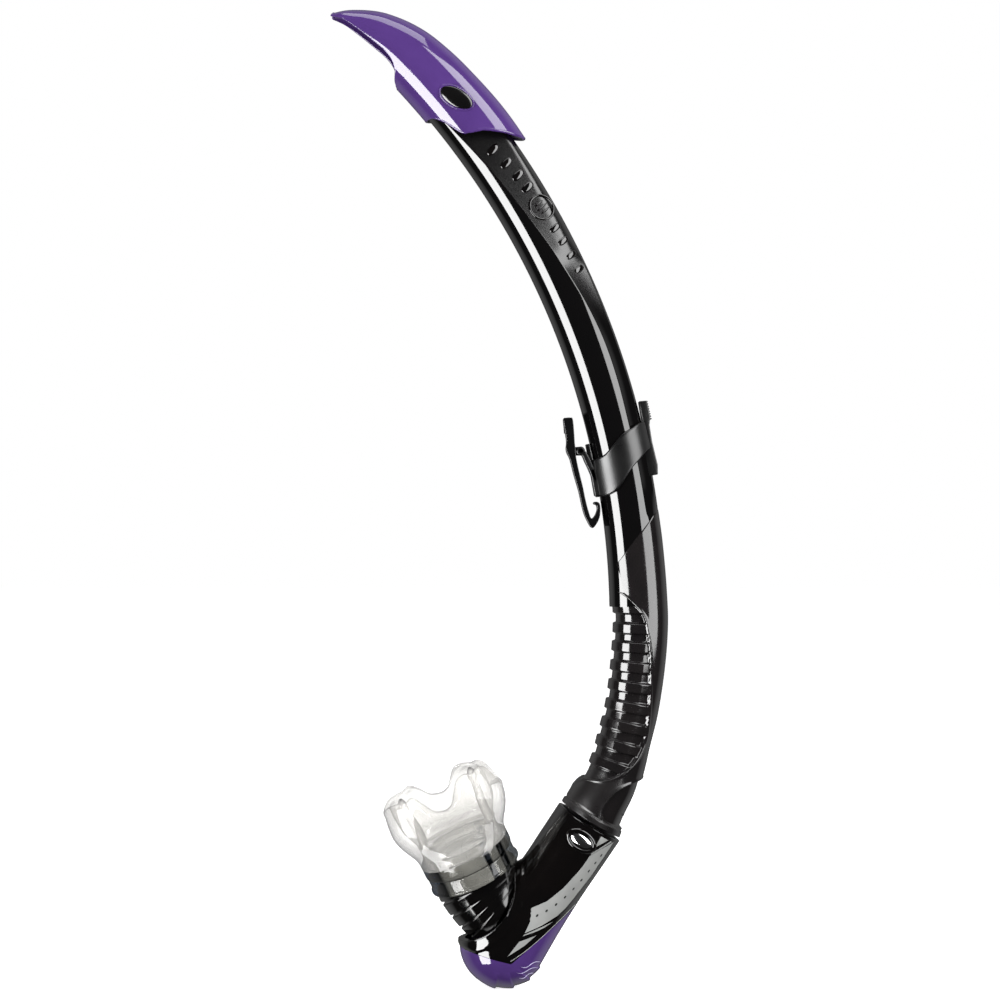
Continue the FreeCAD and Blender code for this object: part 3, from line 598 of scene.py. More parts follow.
def painted_band_levels(tree, origin, along, stops):
    """Grey level by distance along a direction, -1 to 1 across the stops; used to place painted
    shade and painted reflection bands.
    """
    coord = add_node(tree, "ShaderNodeTexCoord")
    rel = add_node(tree, "ShaderNodeVectorMath", operation="SUBTRACT")
    rel.inputs[1].default_value = origin
    tree.links.new(coord.outputs["Object"], rel.inputs[0])
    dot = add_node(tree, "ShaderNodeVectorMath", operation="DOT_PRODUCT")
    dot.inputs[1].default_value = along
    tree.links.new(rel.outputs[0], dot.inputs[0])
    position = calc(tree, "ADD", calc(tree, "MULTIPLY", dot.outputs["Value"], 0.5), 0.5)
    return grey_ramp(tree, position, [((spot + 1) / 2, level) for spot, level in stops])


def film(name, face, edge, power, haze, edge_haze, glow, ior, rough, wave=0.0001, painted_bands=None):
    """Clear moulding: light passes straight through, tinted more where seen edge-on. With
    painted_bands, dark bands of painted shade and painted reflection are laid across it in fixed
    places.
    """
    mat, tree, bsdf = new_material(name)
    tree.nodes.remove(bsdf)
    swirl = noise(tree, scale=70.0, detail=3.0, rough=0.5)
    normal = bump(tree, swirl, distance=wave, strength=0.5)
    weight = add_node(tree, "ShaderNodeLayerWeight", Blend=0.5)
    tree.links.new(normal, weight.inputs["Normal"])
    edge_on = calc(tree, "POWER", weight.outputs["Facing"], power)
    clear = add_node(tree, "ShaderNodeBsdfTransparent")
    tree.links.new(mix_color(tree, edge_on, face, edge), clear.inputs["Color"])
    through = clear.outputs[0]
    diffuse = add_node(tree, "ShaderNodeBsdfDiffuse")
    tint = mix_color(tree, swirl, glow, tuple(level * 0.9 for level in glow))
    tree.links.new(tint, diffuse.inputs["Color"])
    lit = add_node(tree, "ShaderNodeBsdfTranslucent", Color=(*glow, 1))
    milk = mix_shaders(tree, 0.15, diffuse.outputs[0], lit.outputs[0])
    veil = calc(tree, "ADD", ranged(tree, swirl, out=(haze * 0.7, haze * 1.3)),
                calc(tree, "MULTIPLY", edge_on, edge_haze))
    # painted shade and painted reflection: the bands dim the haze and darken the light passing
    # through
    if painted_bands:
        level = painted_band_levels(tree, *painted_bands)
        veil = calc(tree, "MULTIPLY", veil, level)
        dark = add_node(tree, "ShaderNodeBsdfTransparent", Color=(0.10, 0.125, 0.16, 1))
        through = mix_shaders(tree, level, dark.outputs[0], through)
    inside = mix_shaders(tree, veil, through, milk)
    gloss = add_node(tree, "ShaderNodeBsdfGlossy")
    smudge = ranged(tree, noise(tree, scale=160.0, detail=4.0), out=(rough * 0.6, rough * 1.6))
    tree.links.new(smudge, gloss.inputs["Roughness"])
    tree.links.new(normal, gloss.inputs["Normal"])
    fresnel = add_node(tree, "ShaderNodeFresnel", IOR=ior)
    tree.links.new(normal, fresnel.inputs["Normal"])
    shine = calc(tree, "MINIMUM", fresnel.outputs[0], 0.35)
    surface = mix_shaders(tree, shine, inside, gloss.outputs[0])
    tree.links.new(surface, tree.nodes["Material Output"].inputs["Surface"])
    return mat


def metal(name, colour, rough, stretch, scale):
    mat, tree, bsdf = new_material(name)
    bsdf.inputs["Metallic"].default_value = 1.0
    brush = noise(tree, scale=scale, detail=4.0, rough=0.6, stretch=stretch)
    tint = mix_color(tree, brush, tuple(level * 0.8 for level in colour), colour)
    tree.links.new(tint, bsdf.inputs["Base Color"])
    tree.links.new(ranged(tree, brush, out=rough), bsdf.inputs["Roughness"])
    tree.links.new(bump(tree, brush, distance=0.00002, strength=0.4), bsdf.inputs["Normal"])
    return mat


BLACK = barrel_black()
CHAMBER = plastic("black_gloss_chamber", dark=(0.0012, 0.0012, 0.0014),
                  light=(0.0032, 0.0024, 0.0022), rough=(0.03, 0.08), ior=1.52, speck=0.05)
SATIN = plastic("satin_black", dark=(0.0022, 0.0022, 0.0024), light=(0.0044, 0.0044, 0.0045),
                rough=(0.24, 0.34), grain=0.35)
MATTE = plastic("matte_black", dark=(0.004, 0.004, 0.0045), light=(0.008, 0.008, 0.0085),
                rough=(0.42, 0.6), grain=0.5)
SILICONE = plastic("black_silicone", dark=(0.0013, 0.0013, 0.0015), light=(0.0034, 0.0028, 0.0026),
                   rough=(0.06, 0.13), wave=0.00012, speck=0.06)
PURPLE = plastic("purple_gloss", dark=(0.047, 0.0205, 0.110), light=(0.058, 0.0265, 0.132),
                 rough=(0.03, 0.07), speck=0.06)
COVER_PURPLE = plastic("purple_gloss_cover", dark=(0.066, 0.030, 0.155),
                       light=(0.080, 0.038, 0.185), rough=(0.03, 0.07), speck=0.06)
RUBBER = plastic("seal_rubber", dark=(0.004, 0.004, 0.004), light=(0.009, 0.009, 0.009),
                 rough=(0.45, 0.7), grain=0.3)
# (place across the ring, level): painted shade and painted reflection; level 0 is a dark band
# painted in, standing for shade at the ring's two ends and for dark reflections in the upright
# bands between them
SMOKE_PAINTED_BANDS = [(-1.0, 0.0), (-0.66, 0.05), (-0.58, 1.0), (0.36, 1.0), (0.39, 0.0), (0.49, 0.0),
                 (0.52, 0.9), (0.66, 0.9), (0.69, 0.0), (0.79, 0.0), (0.82, 0.5), (1.0, 0.3)]
PAINTED_BAND_REACH = 0.021               # metres from the ring's centre to the last painted band stop
# smoke rings: painted shade at both ends and painted dark reflection bands between, fixed across
# the ring
SMOKE = film("smoke_plastic", face=(0.70, 0.70, 0.68), edge=(0.010, 0.018, 0.032), power=1.5,
             haze=0.42, edge_haze=-0.38, glow=(0.36, 0.355, 0.32), ior=1.42, rough=0.05,
             painted_bands=(tuple(to_scene(RING_CENTRE)), tuple(RING_X / PAINTED_BAND_REACH), SMOKE_PAINTED_BANDS))
CLEAR = film("clear_silicone", face=(0.985, 0.982, 0.974), edge=(0.26, 0.26, 0.29), power=2.4,
             haze=0.22, edge_haze=0.02, glow=(0.86, 0.845, 0.81), ior=1.35, rough=0.07,
             wave=0.0003)
SILVER = plastic("silver_foil", dark=(0.25, 0.255, 0.25), light=(0.33, 0.335, 0.325),
                 rough=(0.28, 0.40), grain=0.1, ior=1.45)
STEEL = metal("spring_steel", colour=(0.6, 0.6, 0.58), rough=(0.2, 0.35), stretch=(1, 1, 12.0),
              scale=200.0)
PLUG_BLACK = plastic("plug_black", dark=(0.0016, 0.0016, 0.0018), light=(0.0035, 0.0033, 0.0032),
                     rough=(0.10, 0.17), grain=0.05)
HOSE_BLACK = hose_silicone()
PALE = plastic("pale_print", dark=(0.42, 0.36, 0.62), light=(0.55, 0.5, 0.72), rough=(0.3, 0.5))
CHROME = metal("button_dark_chrome", colour=(0.62, 0.62, 0.63), rough=(0.10, 0.2),
               stretch=(1.0, 1.0, 1.0), scale=90.0)
LEVER_BLACK = plastic("lever_gloss", dark=(0.0018, 0.0018, 0.002), light=(0.004, 0.004, 0.0042),
                      rough=(0.08, 0.16), grain=0.06)

# ---------------------------------------------------------------------------
# barrel: oval arc with a flat satin field on both flanks, edged by a crease
# ---------------------------------------------------------------------------
CREASE_PHI = [0.0, 9.8, 14.1, 17.0, 20.1, 22.1, 25.9, 29.7, 33.0, 37.5, 43.0]
CREASE_R = [370.2, 370.4, 370.2, 370.6, 370.3, 369.2, 366.0, 362.6, 360.2, 356.8, 353.0]
LEAN_PHI, LEAN_DEGREES = [25.0, 28.0, 33.0, 37.0], [16.5, 16.0, 13.5, 11.0]
BACK_R = 375.55                    # outer edge of the flat field


def barrel_half_width(radius, phi):
    """Half-width in Y, with the flat field cut in."""
    def oval_y(at):
        return BARREL_B * np.sqrt(np.clip(1 - ((at - ARC_R) / BARREL_A) ** 2, 0, 1))

    base = oval_y(radius)
    crease = curve(CREASE_PHI, CREASE_R, phi)
    y_crease = oval_y(crease)
    # low on the barrel: a slightly hollow chord from the crease to BACK_R
    part = np.clip((radius - crease) / (BACK_R - crease), 0, 1)
    flat = y_crease + (oval_y(BACK_R) - y_crease) * part - 0.25 * np.sin(np.pi * part)
    chord = np.where((radius > crease) & (radius < BACK_R),
                     base + (np.minimum(flat, base) - base) * ease(6.5, 10.0, phi), base)
    # higher up: a leaning plane with a softened far edge
    lean = np.radians(np.interp(phi, LEAN_PHI, LEAN_DEGREES))
    plane = y_crease - (radius - crease) * np.tan(lean) - 0.03
    soft = 0.9 * ease(1.5, 5.5, radius - crease)
    gap = np.abs(plane - base)
    rounding = np.where(gap < soft, (soft - gap) ** 2 / (4 * soft + 1e-6), 0)
    wide = np.where(radius > crease, np.minimum(base, plane) - rounding, base)
    return chord + (wide - chord) * ease(24.8, 27.2, phi)


def build_barrel():
    rows, satin = [], []
    for phi in np.linspace(1.0, 42.4, 420):
        crease = float(curve(CREASE_PHI, CREASE_R, phi))
        at_crease = math.acos((crease - ARC_R) / BARREL_A)
        at_back = math.acos((BACK_R - ARC_R) / BARREL_A)
        half = np.concatenate([
            np.linspace(0, at_back, 7)[:-1],
            np.linspace(at_back, at_crease - 0.05, 22)[:-1],
            [at_crease + step for step in (-0.05, -0.02, 0, 0.02, 0.05)],
            np.linspace(at_crease + 0.05, math.pi, 46)[1:]])
        angle = np.concatenate([half, (2 * math.pi - half[1:-1])[::-1]])
        radius = ARC_R + BARREL_A * np.cos(angle)
        y = barrel_half_width(radius, phi)
        y = np.where(np.abs(np.sin(angle)) < 1e-6, 0, np.where(angle < math.pi, -y, y))
        rows.append(arc_point(radius, phi, y))
        satin.append(ease(0.0, 0.35, radius - crease) * ease(BACK_R + 0.6, BACK_R - 0.4, radius)
                     * ease(19.0, 24.0, phi))
    barrel = grid("barrel_shell", np.array(rows), BLACK, attrs={"satin": np.array(satin)})
    place(weld(barrel, 0.000005), "barrel", replaces="barrel_tube")


def barrel_flank(radius, phi, side):
    """Point and outward direction on the barrel's flank."""
    step = 0.05
    y = float(barrel_half_width(radius, phi))
    slope = (float(barrel_half_width(radius + step, phi)) - y) / step
    return arc_point(radius, phi, side * y), unit(outward(phi) * (-slope) + EY * side)


# phi, radius, half-length, half-width, height
GRIP_RIBS = [(35.15, 365.6, 3.3, 1.75, 0.75), (33.85, 367.2, 3.3, 1.75, 0.75),
             (32.7, 368.6, 3.3, 1.75, 0.75), (31.65, 369.3, 3.3, 1.75, 0.75),
             (28.25, 370.9, 3.0, 1.5, 0.7), (27.2, 371.5, 3.0, 1.5, 0.7),
             (26.1, 372.0, 3.0, 1.5, 0.7), (25.0, 372.4, 3.0, 1.5, 0.7)]
BOSS_PHI, BOSS_R, BOSS_A, BOSS_B = 29.95, 370.2, 5.2, 5.7


def grip_axes(radius, phi, side):
    """Place on the flank and (across, along, normal) axes, leaning 12 degrees."""
    point, normal = barrel_flank(radius, phi, side)
    along = upward(phi)
    along = unit(along - normal * (along @ normal))
    across = np.cross(normal, along)
    lean = math.radians(12 * side)
    return point, (across * math.cos(lean) + along * math.sin(lean),
                   -across * math.sin(lean) + along * math.cos(lean), normal)


def add_oval_boss(verts, faces, side):
    """Oval bead with three low pillows in it."""
    seg, sides = 64, 8
    bead_wide, bead_high = 0.62, 0.42
    point, axes = grip_axes(BOSS_R, BOSS_PHI, side)
    across, along, normal = axes
    first = len(verts)
    ring = oval(point, across, along, BOSS_A, BOSS_B, seg) + normal * 0.05
    for centre, angle in zip(ring, turn(seg)):
        out = unit(across * math.cos(angle) / BOSS_A + along * math.sin(angle) / BOSS_B)
        for spin in turn(sides):
            verts.append(centre + out * (bead_wide * math.cos(spin))
                         + normal * (bead_high * math.sin(spin)))
    for i in range(seg):
        row, after_row = first + i * sides, first + (i + 1) % seg * sides
        for j in range(sides):
            after = (j + 1) % sides
            faces.append([row + j, after_row + j, after_row + after, row + after])
    for shift in (-1.5, 0.0, 1.5):
        add_bump(verts, faces, point + along * shift * 1.4, axes,
                 half_sizes=(3.2 - abs(shift) * 0.4, 0.55), height=0.5)


def build_grip_ribs():
    verts, faces = [], []
    for side, _ in SIDES:
        for i, (phi, radius, half_length, half_width, height) in enumerate(GRIP_RIBS):
            if i == 4:
                add_oval_boss(verts, faces, side)
            point, axes = grip_axes(radius, phi, side)
            add_bump(verts, faces, point, axes, (half_length, half_width), height, power=2.6)
    ribs = make("barrel_grip_ribs", np.array(verts), faces, CHAMBER)
    place(weld(ribs, 0.000001), "barrel")


build_barrel()
build_grip_ribs()

# ---------------------------------------------------------------------------
# splash guard: hood over the barrel's top end
# ---------------------------------------------------------------------------
# phi, outer radius, inner radius, half-width in Y
GUARD = np.array([
    (32.0, 380.4, 349.75, 12.35), (34.5, 381.1, 349.7, 12.45), (37.0, 381.3, 349.7, 12.6),
    (40.0, 380.4, 349.7, 12.65), (42.5, 379.2, 349.7, 12.5), (44.8, 376.9, 349.75, 11.9),
    (46.6, 373.0, 349.9, 10.9), (47.8, 369.2, 350.2, 9.8), (48.9, 364.0, 350.6, 8.2),
    (49.7, 359.3, 351.0, 6.2), (50.25, 354.9, 351.4, 3.6)])
# edge of the opening on the inner side: radius, phi
RIM = np.array([(350.0, 43.05), (351.0, 43.4), (354.1, 43.87), (356.3, 44.5), (357.3, 45.4),
                (356.9, 46.7), (356.3, 48.1), (355.3, 49.4), (353.0, 50.35)])
# lower edge: radius, phi
SKIRT = np.array([(346.0, 40.1), (350.0, 39.85), (352.7, 39.65), (355.9, 38.75), (358.4, 37.35),
                  (363.0, 36.95), (367.8, 36.6), (374.6, 35.7), (380.7, 34.75), (386.0, 34.0)])
OPENING_PHI = RIM[0, 1]
GUARD_COLS = 161
GUARD_FULL_ROWS = 90               # rows below the opening


def guard_section(phi):
    """Middle radius, half-size along the radius and half-width."""
    sizes = curve(GUARD[:, 0], GUARD[:, 1:], phi)
    outer, inner, half_y = sizes[..., 0], sizes[..., 1], sizes[..., 2]
    return (outer + inner) / 2, (outer - inner) / 2, half_y


def guard_at(phi, angle):
    middle, half, half_y = guard_section(phi)
    return arc_point(middle + half * np.cos(angle), phi, -half_y * np.sin(angle))


def guard_inward(points, depth):
    """Moves points of the outer skin towards the middle of the guard."""
    phi = arc_coords(points)[1]
    away = arc_point(guard_section(phi)[0], phi) - points
    return points + away / np.maximum(np.linalg.norm(away, axis=-1, keepdims=True), 1e-6) * depth


def build_guard():
    spread = np.linspace(-1, 1, GUARD_COLS)
    angle = spread * np.pi
    middle, half, _ = guard_section(38.0)
    low = np.interp(middle + half * np.cos(angle), SKIRT[:, 0], SKIRT[:, 1])
    kernel = np.array([1, 2, 3, 2, 1]) / 9.0
    padded = np.concatenate([low[-6:-1], low, low[1:6]])
    low = np.convolve(padded, kernel, "same")[5:-5]
    rows = [guard_at(low + part * (OPENING_PHI - low), angle)
            for part in np.linspace(0, 1, GUARD_FULL_ROWS)]
    for phi in np.concatenate([np.linspace(OPENING_PHI, 44.6, 34)[1:],
                               np.linspace(44.6, 50.16, 90)[1:]]):
        middle, half, _ = guard_section(phi)
        rim = float(curve(RIM[:, 1], RIM[:, 0], phi))
        reach = math.acos(float(np.clip((rim - middle) / half, -1, 1)))
        rows.append(guard_at(phi, spread * reach))
    skin = np.array(rows)
    shell = weld(grid("splash_guard_shell", skin, PURPLE, wrap=False), 0.00003)
    thicken(shell, 0.0010)
    opening = skin[GUARD_FULL_ROWS:]
    path = np.concatenate([opening[::2, 0], skin[-1, 8:-8:8], opening[::-2, -1]])
    rim_bead = tube("splash_guard_rim", guard_inward(path, 0.48), 0.5, PURPLE, sides=12)
    path = guard_at(low, angle)[:-1]
    skirt_bead = tube("splash_guard_skirt", guard_inward(path, 0.62), 0.72, PURPLE,
                      closed=True, sides=12)
    guard = join("splash_guard_shell_full", [shell, rim_bead, skirt_bead], PURPLE)
    place(shade(guard, 60), "barrel", replaces="splash_guard")


PLUG_R, PLUG_PHI, PLUG_Y, PLUG_LEAN = 366.4, 39.5, 12.25, math.radians(-29.8)
PLUG_A, PLUG_B, PLUG_HEIGHT = 7.75, 3.85, 1.5
PLUG_RIM_GAP = 0.6                 # from the plug's edge to the middle of its rim bead


def build_guard_plugs():
    """Oval plug in a purple rim on each flank of the guard."""
    across = np.array([math.cos(PLUG_LEAN), 0, math.sin(PLUG_LEAN)])
    along = np.array([-math.sin(PLUG_LEAN), 0, math.cos(PLUG_LEAN)])
    for side, label in SIDES:
        normal = EY * side
        centre = arc_point(PLUG_R, PLUG_PHI, side * PLUG_Y)
        plug = dome("guard_plug_dome_" + label, centre, (across, along, normal),
                    (PLUG_A, PLUG_B), PLUG_HEIGHT, PLUG_BLACK)
        place(plug, "barrel", replaces="guard_plug_" + label)
        ring = oval(centre, across, along, PLUG_A + PLUG_RIM_GAP, PLUG_B + PLUG_RIM_GAP, 72)
        rim = tube("guard_plug_rim_" + label, ring + normal * 0.25, 0.42, PURPLE, closed=True)
        place(rim, "barrel")


build_guard()
build_guard_plugs()

# ---------------------------------------------------------------------------
# flex hose
# ---------------------------------------------------------------------------
# x, z, tilt in degrees, half-size in XZ, half-size in Y
HOSE = np.array([
    (41.9, 75.6, -32.1, 14.9, 14.4), (45.2, 82.5, -30.0, 14.3, 14.0),
    (50.5, 91.5, -25.5, 13.4, 13.0), (54.0, 101.0, -20.0, 12.75, 11.9),
    (56.5, 111.0, -16.0, 12.5, 11.3), (59.8, 124.0, -11.0, 12.4, 10.9),
    (61.9, 137.0, -7.5, 12.5, 10.7), (63.3, 150.0, -4.5, 12.65, 10.6),
    (64.1, 165.0, -1.5, 12.65, 10.5), (63.5, 178.0, 1.0, 12.7, 10.45),
    (62.5, 190.0, 4.0, 12.75, 10.35), (60.8, 204.9, 6.3, 12.8, 10.25),
    (58.6, 218.0, 8.4, 12.85, 10.2), (54.0, 235.0, 11.0, 12.9, 10.2)])
HOSE_FOOT = HOSE[0, 1]
# outline (x, z) of the ribbed field sunk into both flanks
WINDOW = [(46.125, 179.55), (51.975, 178.425), (56.025, 176.4), (60.21, 172.98),
          (63.855, 169.38), (65.925, 165.6), (66.96, 160.65), (67.725, 155.25),
          (68.175, 149.4), (68.4, 140.4), (68.175, 129.15), (67.5, 120.15), (66.375, 112.05),
          (63.225, 104.4), (57.375, 98.1), (51.525, 95.175), (46.125, 94.05),
          (38.475, 94.725), (28.125, 95.85)]
# outline (x, z) of the tear-shaped hollow near the foot
TEAR = [(78.525, 97.65), (69.525, 95.625), (64.125, 93.375), (57.825, 91.35), (52.425, 88.65),
        (48.825, 85.05), (46.575, 81.45), (46.125, 78.75), (47.475, 76.05), (51.525, 73.575),
        (56.025, 71.55), (64.125, 68.85), (86.625, 79.65)]
# left end (x, z) of each ridge in the ribbed field
RIDGES = [(51.975, 170.55), (52.425, 161.775), (51.525, 153.675), (50.85, 145.125),
          (49.95, 136.575), (48.375, 128.025), (46.35, 119.925), (43.875, 111.825),
          (40.95, 103.725)]
SEAM_X, SEAM_Z, SEAM_SLOPE = 50.2, 187.65, 1.277      # slanting upper end of the hose


def depth_inside(outline, x, z):
    """Distance from a smoothed XZ outline, positive inside it."""
    loop = smooth_line(outline, 5)
    query = np.stack([x.ravel(), z.ravel()], -1)
    distance = np.full(len(query), 1e9)
    inside = np.zeros(len(query), bool)
    for start, end in zip(loop, np.roll(loop, -1, 0)):
        edge = end - start
        part = np.clip(((query - start) @ edge) / max(edge @ edge, 1e-9), 0, 1)
        nearest = start + part[:, None] * edge
        distance = np.minimum(distance, np.linalg.norm(query - nearest, axis=1))
        crossing = (start[1] > query[:, 1]) != (end[1] > query[:, 1])
        x_cross = edge[0] * (query[:, 1] - start[1]) / (edge[1] + 1e-12) + start[0]
        inside ^= crossing & (query[:, 0] < x_cross)
    return np.where(inside, distance, -distance).reshape(x.shape)


def hose_section(z):
    """x, z, tilt in radians and the two half-sizes at height z."""
    x, mid_z, tilt, half, half_y = np.moveaxis(curve(HOSE[:, 1], HOSE, z), -1, 0)
    return x, mid_z, np.radians(tilt), half, half_y


def build_hose():
    rows, cols = 620, 200
    angle = turn(cols)
    # centre-line height at which each column meets the slanting seam
    top = np.full(cols, 195.0)
    for _ in range(12):
        x, mid_z, tilt, half, _half_y = hose_section(top)
        seam_x = x + np.cos(tilt) * half * np.cos(angle)
        seam_z = mid_z + np.sin(tilt) * half * np.cos(angle)
        top += (SEAM_Z + (seam_x - SEAM_X) * SEAM_SLOPE - seam_z) * 0.6
    height = HOSE_FOOT + (top - HOSE_FOOT) * np.linspace(0, 1, rows)[:, None]
    x, mid_z, tilt, half, half_y = hose_section(height)
    across = np.stack([np.cos(tilt), 0 * tilt, np.sin(tilt)], -1)
    centre = np.stack([x, 0 * x, mid_z], -1)
    points = (centre + across * (half * np.cos(angle))[..., None]
              + EY * (-half_y * np.sin(angle))[..., None])
    normal = across * (np.cos(angle) / half)[..., None] + EY * (-np.sin(angle) / half_y)[..., None]
    normal /= np.linalg.norm(normal, axis=-1, keepdims=True)
    x, z = points[..., 0], points[..., 2]
    # sunken field: ridges stand in planes square to the hose's centre line
    in_window = depth_inside(WINDOW, x, z)
    inside = ease(-0.05, 0.45, in_window)
    to_ridge = np.full_like(x, 1e9)
    for ridge_x, ridge_z in RIDGES:
        tilt = hose_section(ridge_z)[2]
        offset = (x - ridge_x) * -math.sin(tilt) + (z - ridge_z) * math.cos(tilt)
        to_ridge = np.minimum(to_ridge, np.abs(offset))
    ridge = ease(2.75, 1.95, to_ridge)
    depth = inside * (0.35 + 1.35 * (1 - ridge)) - bell(in_window, -0.35, 0.42) * 0.28
    depth += inside * 0.25 * (1 - ease(0.0, 5.0, in_window))
    in_tear = depth_inside(TEAR, x, z)
    hollow = ease(-0.25, 0.55, in_tear)
    depth += hollow * 1.55 - bell(in_tear, -0.5, 0.5) * 0.30
    # flange that meets the chamber, and the thin upper edge
    rise = height - HOSE_FOOT
    depth -= 0.45 * ease(2.6, 2.1, rise)
    depth += 0.35 * bell(rise, 2.9, 0.45)
    depth += 0.55 * ease(1.2, 0.0, top - height)
    points = points - normal * depth[..., None]
    satin = ease(99.5, 94.0, z + (x - 50) * 0.62) * (1 - hollow)
    # both ends turn inward
    foot = centre[0] + (points[0] - centre[0]) * 0.80
    head = centre[-1] + (points[-1] - centre[-1]) * 0.90
    points = np.concatenate([foot[None], points, head[None]], 0)
    satin = np.concatenate([satin[:1], satin, satin[-1:]], 0)
    hose = grid("flex_hose_boot", points, HOSE_BLACK, attrs={"satin": satin})
    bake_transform(hose)
    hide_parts("flex_hose")


build_hose()

# ---------------------------------------------------------------------------
# purge chamber: one smooth blend of arm, bulb and elbow socket
# ---------------------------------------------------------------------------
# x, z, half-size in XZ, half-size in Y; the arm's last station is the bulb
ARM = np.array([(41.25, 74.15, 15.9, 15.4), (32.9, 61.7, 15.8, 15.5), (24.5, 49.3, 15.75, 15.7),
                (13.6, 34.6, 17.2, 16.3), (2.3, 19.3, 19.3, 16.9)])
SOCKET = np.array([(-11.0, 42.0, 17.4, 17.3), (-3.9, 34.6, 17.3, 17.1), (2.5, 28.0, 16.6, 16.3),
                   (8.0, 22.4, 14.5, 14.0)])
ARM_AXIS = unit([0.532, 0.0, 0.847])
SOCKET_AXIS = unit([-0.697, 0.0, 0.717])
ARM_ACROSS = across_of(ARM_AXIS)
ARM_TOP = np.array([ARM[0, 0], 0.0, ARM[0, 1]])
BULB_X, BULB_Z, BULB_R, BULB_Y = ARM[-1]
# round recess at the socket, about an axis along Y
RECESS_X, RECESS_Z, RECESS_R = -18.7, 48.15, 26.1
# V-shaped joint between the body above and the cover below, as (x, z)
SEAM_LEFT, SEAM_VEE, SEAM_RIGHT = (np.array(p) for p in ((-15.5, 18.8), (6.0, 13.2), (35.3, 37.6)))
# raised lips on the cover: start and width in degrees about the bulb, height
COVER_LIPS = [(-34.0, 26.0, 1.0), (-8.0, 24.0, 1.1), (16.0, 24.0, 1.1), (40.0, 20.0, 0.7)]


def swept_sections(table, axis, inset, beyond, count):
    """Sections down a table of stations, starting beyond its first one along the axis."""
    stations = np.stack([table[:, 0], 0 * table[:, 0], table[:, 1]], -1)
    down = (stations[0] - stations) @ axis
    out = []
    for distance in np.linspace(-beyond, down[-1], count):
        x, z, half, half_y = curve(down, table, max(distance, 0.0))
        centre = np.array([x, 0, z]) - axis * min(distance, 0.0)
        out.append((centre, across_of(axis), EY, half - inset, half_y - inset))
    return out


def arm_sections(inset=0.0, beyond=7.0):
    out = swept_sections(ARM, ARM_AXIS, inset, beyond, 60)
    radius = BULB_R - inset
    for sink in np.sin(np.linspace(0, math.pi / 2, 26))[1:-1]:
        size = math.sqrt(1 - sink * sink)
        out.append((np.array([BULB_X, 0.0, BULB_Z]) - ARM_AXIS * (radius * sink), ARM_ACROSS, EY,
                    radius * size, (BULB_Y - inset) * size))
    return out


def socket_sections(inset=0.0, beyond=8.0):
    return swept_sections(SOCKET, SOCKET_AXIS, inset, beyond, 30)


def mesh_vectors(elements, key):
    flat = np.zeros(len(elements) * 3, np.float32)
    elements.foreach_get(key, flat)
    return flat.reshape(-1, 3).astype(float)


def working_coords(obj):
    return mesh_vectors(obj.data.vertices, "co") * MM + OFFSET


def above_line(start, end, x, z):
    """Distance from the line start-end, positive above it."""
    along = (end - start) / np.linalg.norm(end - start)
    return (z - start[1]) * along[0] - (x - start[0]) * along[1]


def build_chamber_form():
    """Solid that the body and the cover are both cut from."""
    form = boolean(stack("arm", arm_sections()), stack("sock", socket_sections()), "UNION")
    form.name = "blob"
    mod = form.modifiers.new("r", "REMESH")
    mod.mode = "VOXEL"
    mod.voxel_size = 0.48 / MM
    apply(form)
    mod = form.modifiers.new("s", "SMOOTH")
    mod.factor = 0.5
    mod.iterations = 16
    apply(form)
    places = working_coords(form)
    x, y, z = places.T
    above = np.where(x < SEAM_VEE[0], above_line(SEAM_LEFT, SEAM_VEE, x, z),
                     above_line(SEAM_VEE, SEAM_RIGHT, x, z))
    # smoothing shrank the form, so that much is given back
    lift = np.full(len(places), 0.12)
    # raised band round the recess
    from_recess = np.hypot(x - RECESS_X, z - RECESS_Z) - RECESS_R
    band = 4.4 + 0.9 * ease(45, 25, z)
    lift += 0.85 * ease(band + 1.1, band - 0.9, from_recess) * ease(-0.8, 1.6, above)
    around = np.degrees(np.arctan2(x - BULB_X, -(z - BULB_Z)))
    for start, width, height in COVER_LIPS:
        part = (around - start) / width
        lip = np.where((part > 0) & (part < 1),
                       height * np.maximum(part, 0) ** 1.4 * ease(1.0, 0.90, part), 0)
        lift += lip * ease(-0.4, -2.2, above) * np.sqrt(np.clip(1 - (y / 14.2) ** 2, 0, 1))
    moved = places + mesh_vectors(form.data.vertices, "normal") * lift[:, None]
    form.data.vertices.foreach_set("co", to_scene(moved).astype(np.float32).ravel())
    form.data.update()
    return form


def below_seam(name, lift):
    """Block that fills everything below the V-shaped joint raised by lift."""
    def shifted(start, end):
        along = (end - start) / np.linalg.norm(end - start)
        square = np.array([-along[1], along[0]]) * lift
        return start + square, end + square

    def cross(first, second):
        return first[0] * second[1] - first[1] * second[0]

    left, left_end = shifted(SEAM_LEFT, SEAM_VEE)
    right_start, right = shifted(SEAM_VEE, SEAM_RIGHT)
    left_run, right_run = left_end - left, right - right_start
    vee = left + left_run * (cross(right_start - left, right_run) / cross(left_run, right_run))
    left = left - left_run * 1.5
    right = right + right_run * 1.2
    outline = [tuple(left), tuple(vee), tuple(right), (right[0] + 60, right[1] - 70),
               (left[0] - 10, -60), (left[0] - 10, left[1])]
    return extrude(name, outline, -40.0, 40.0, None, bevel=0)


def copy_form(name):
    obj = CHAMBER_FORM.copy()
    obj.data = CHAMBER_FORM.data.copy()
    obj.name = name
    bpy.context.scene.collection.objects.link(obj)
    return obj


def set_material(obj, mat):
    obj.data.materials.clear()
    obj.data.materials.append(mat)


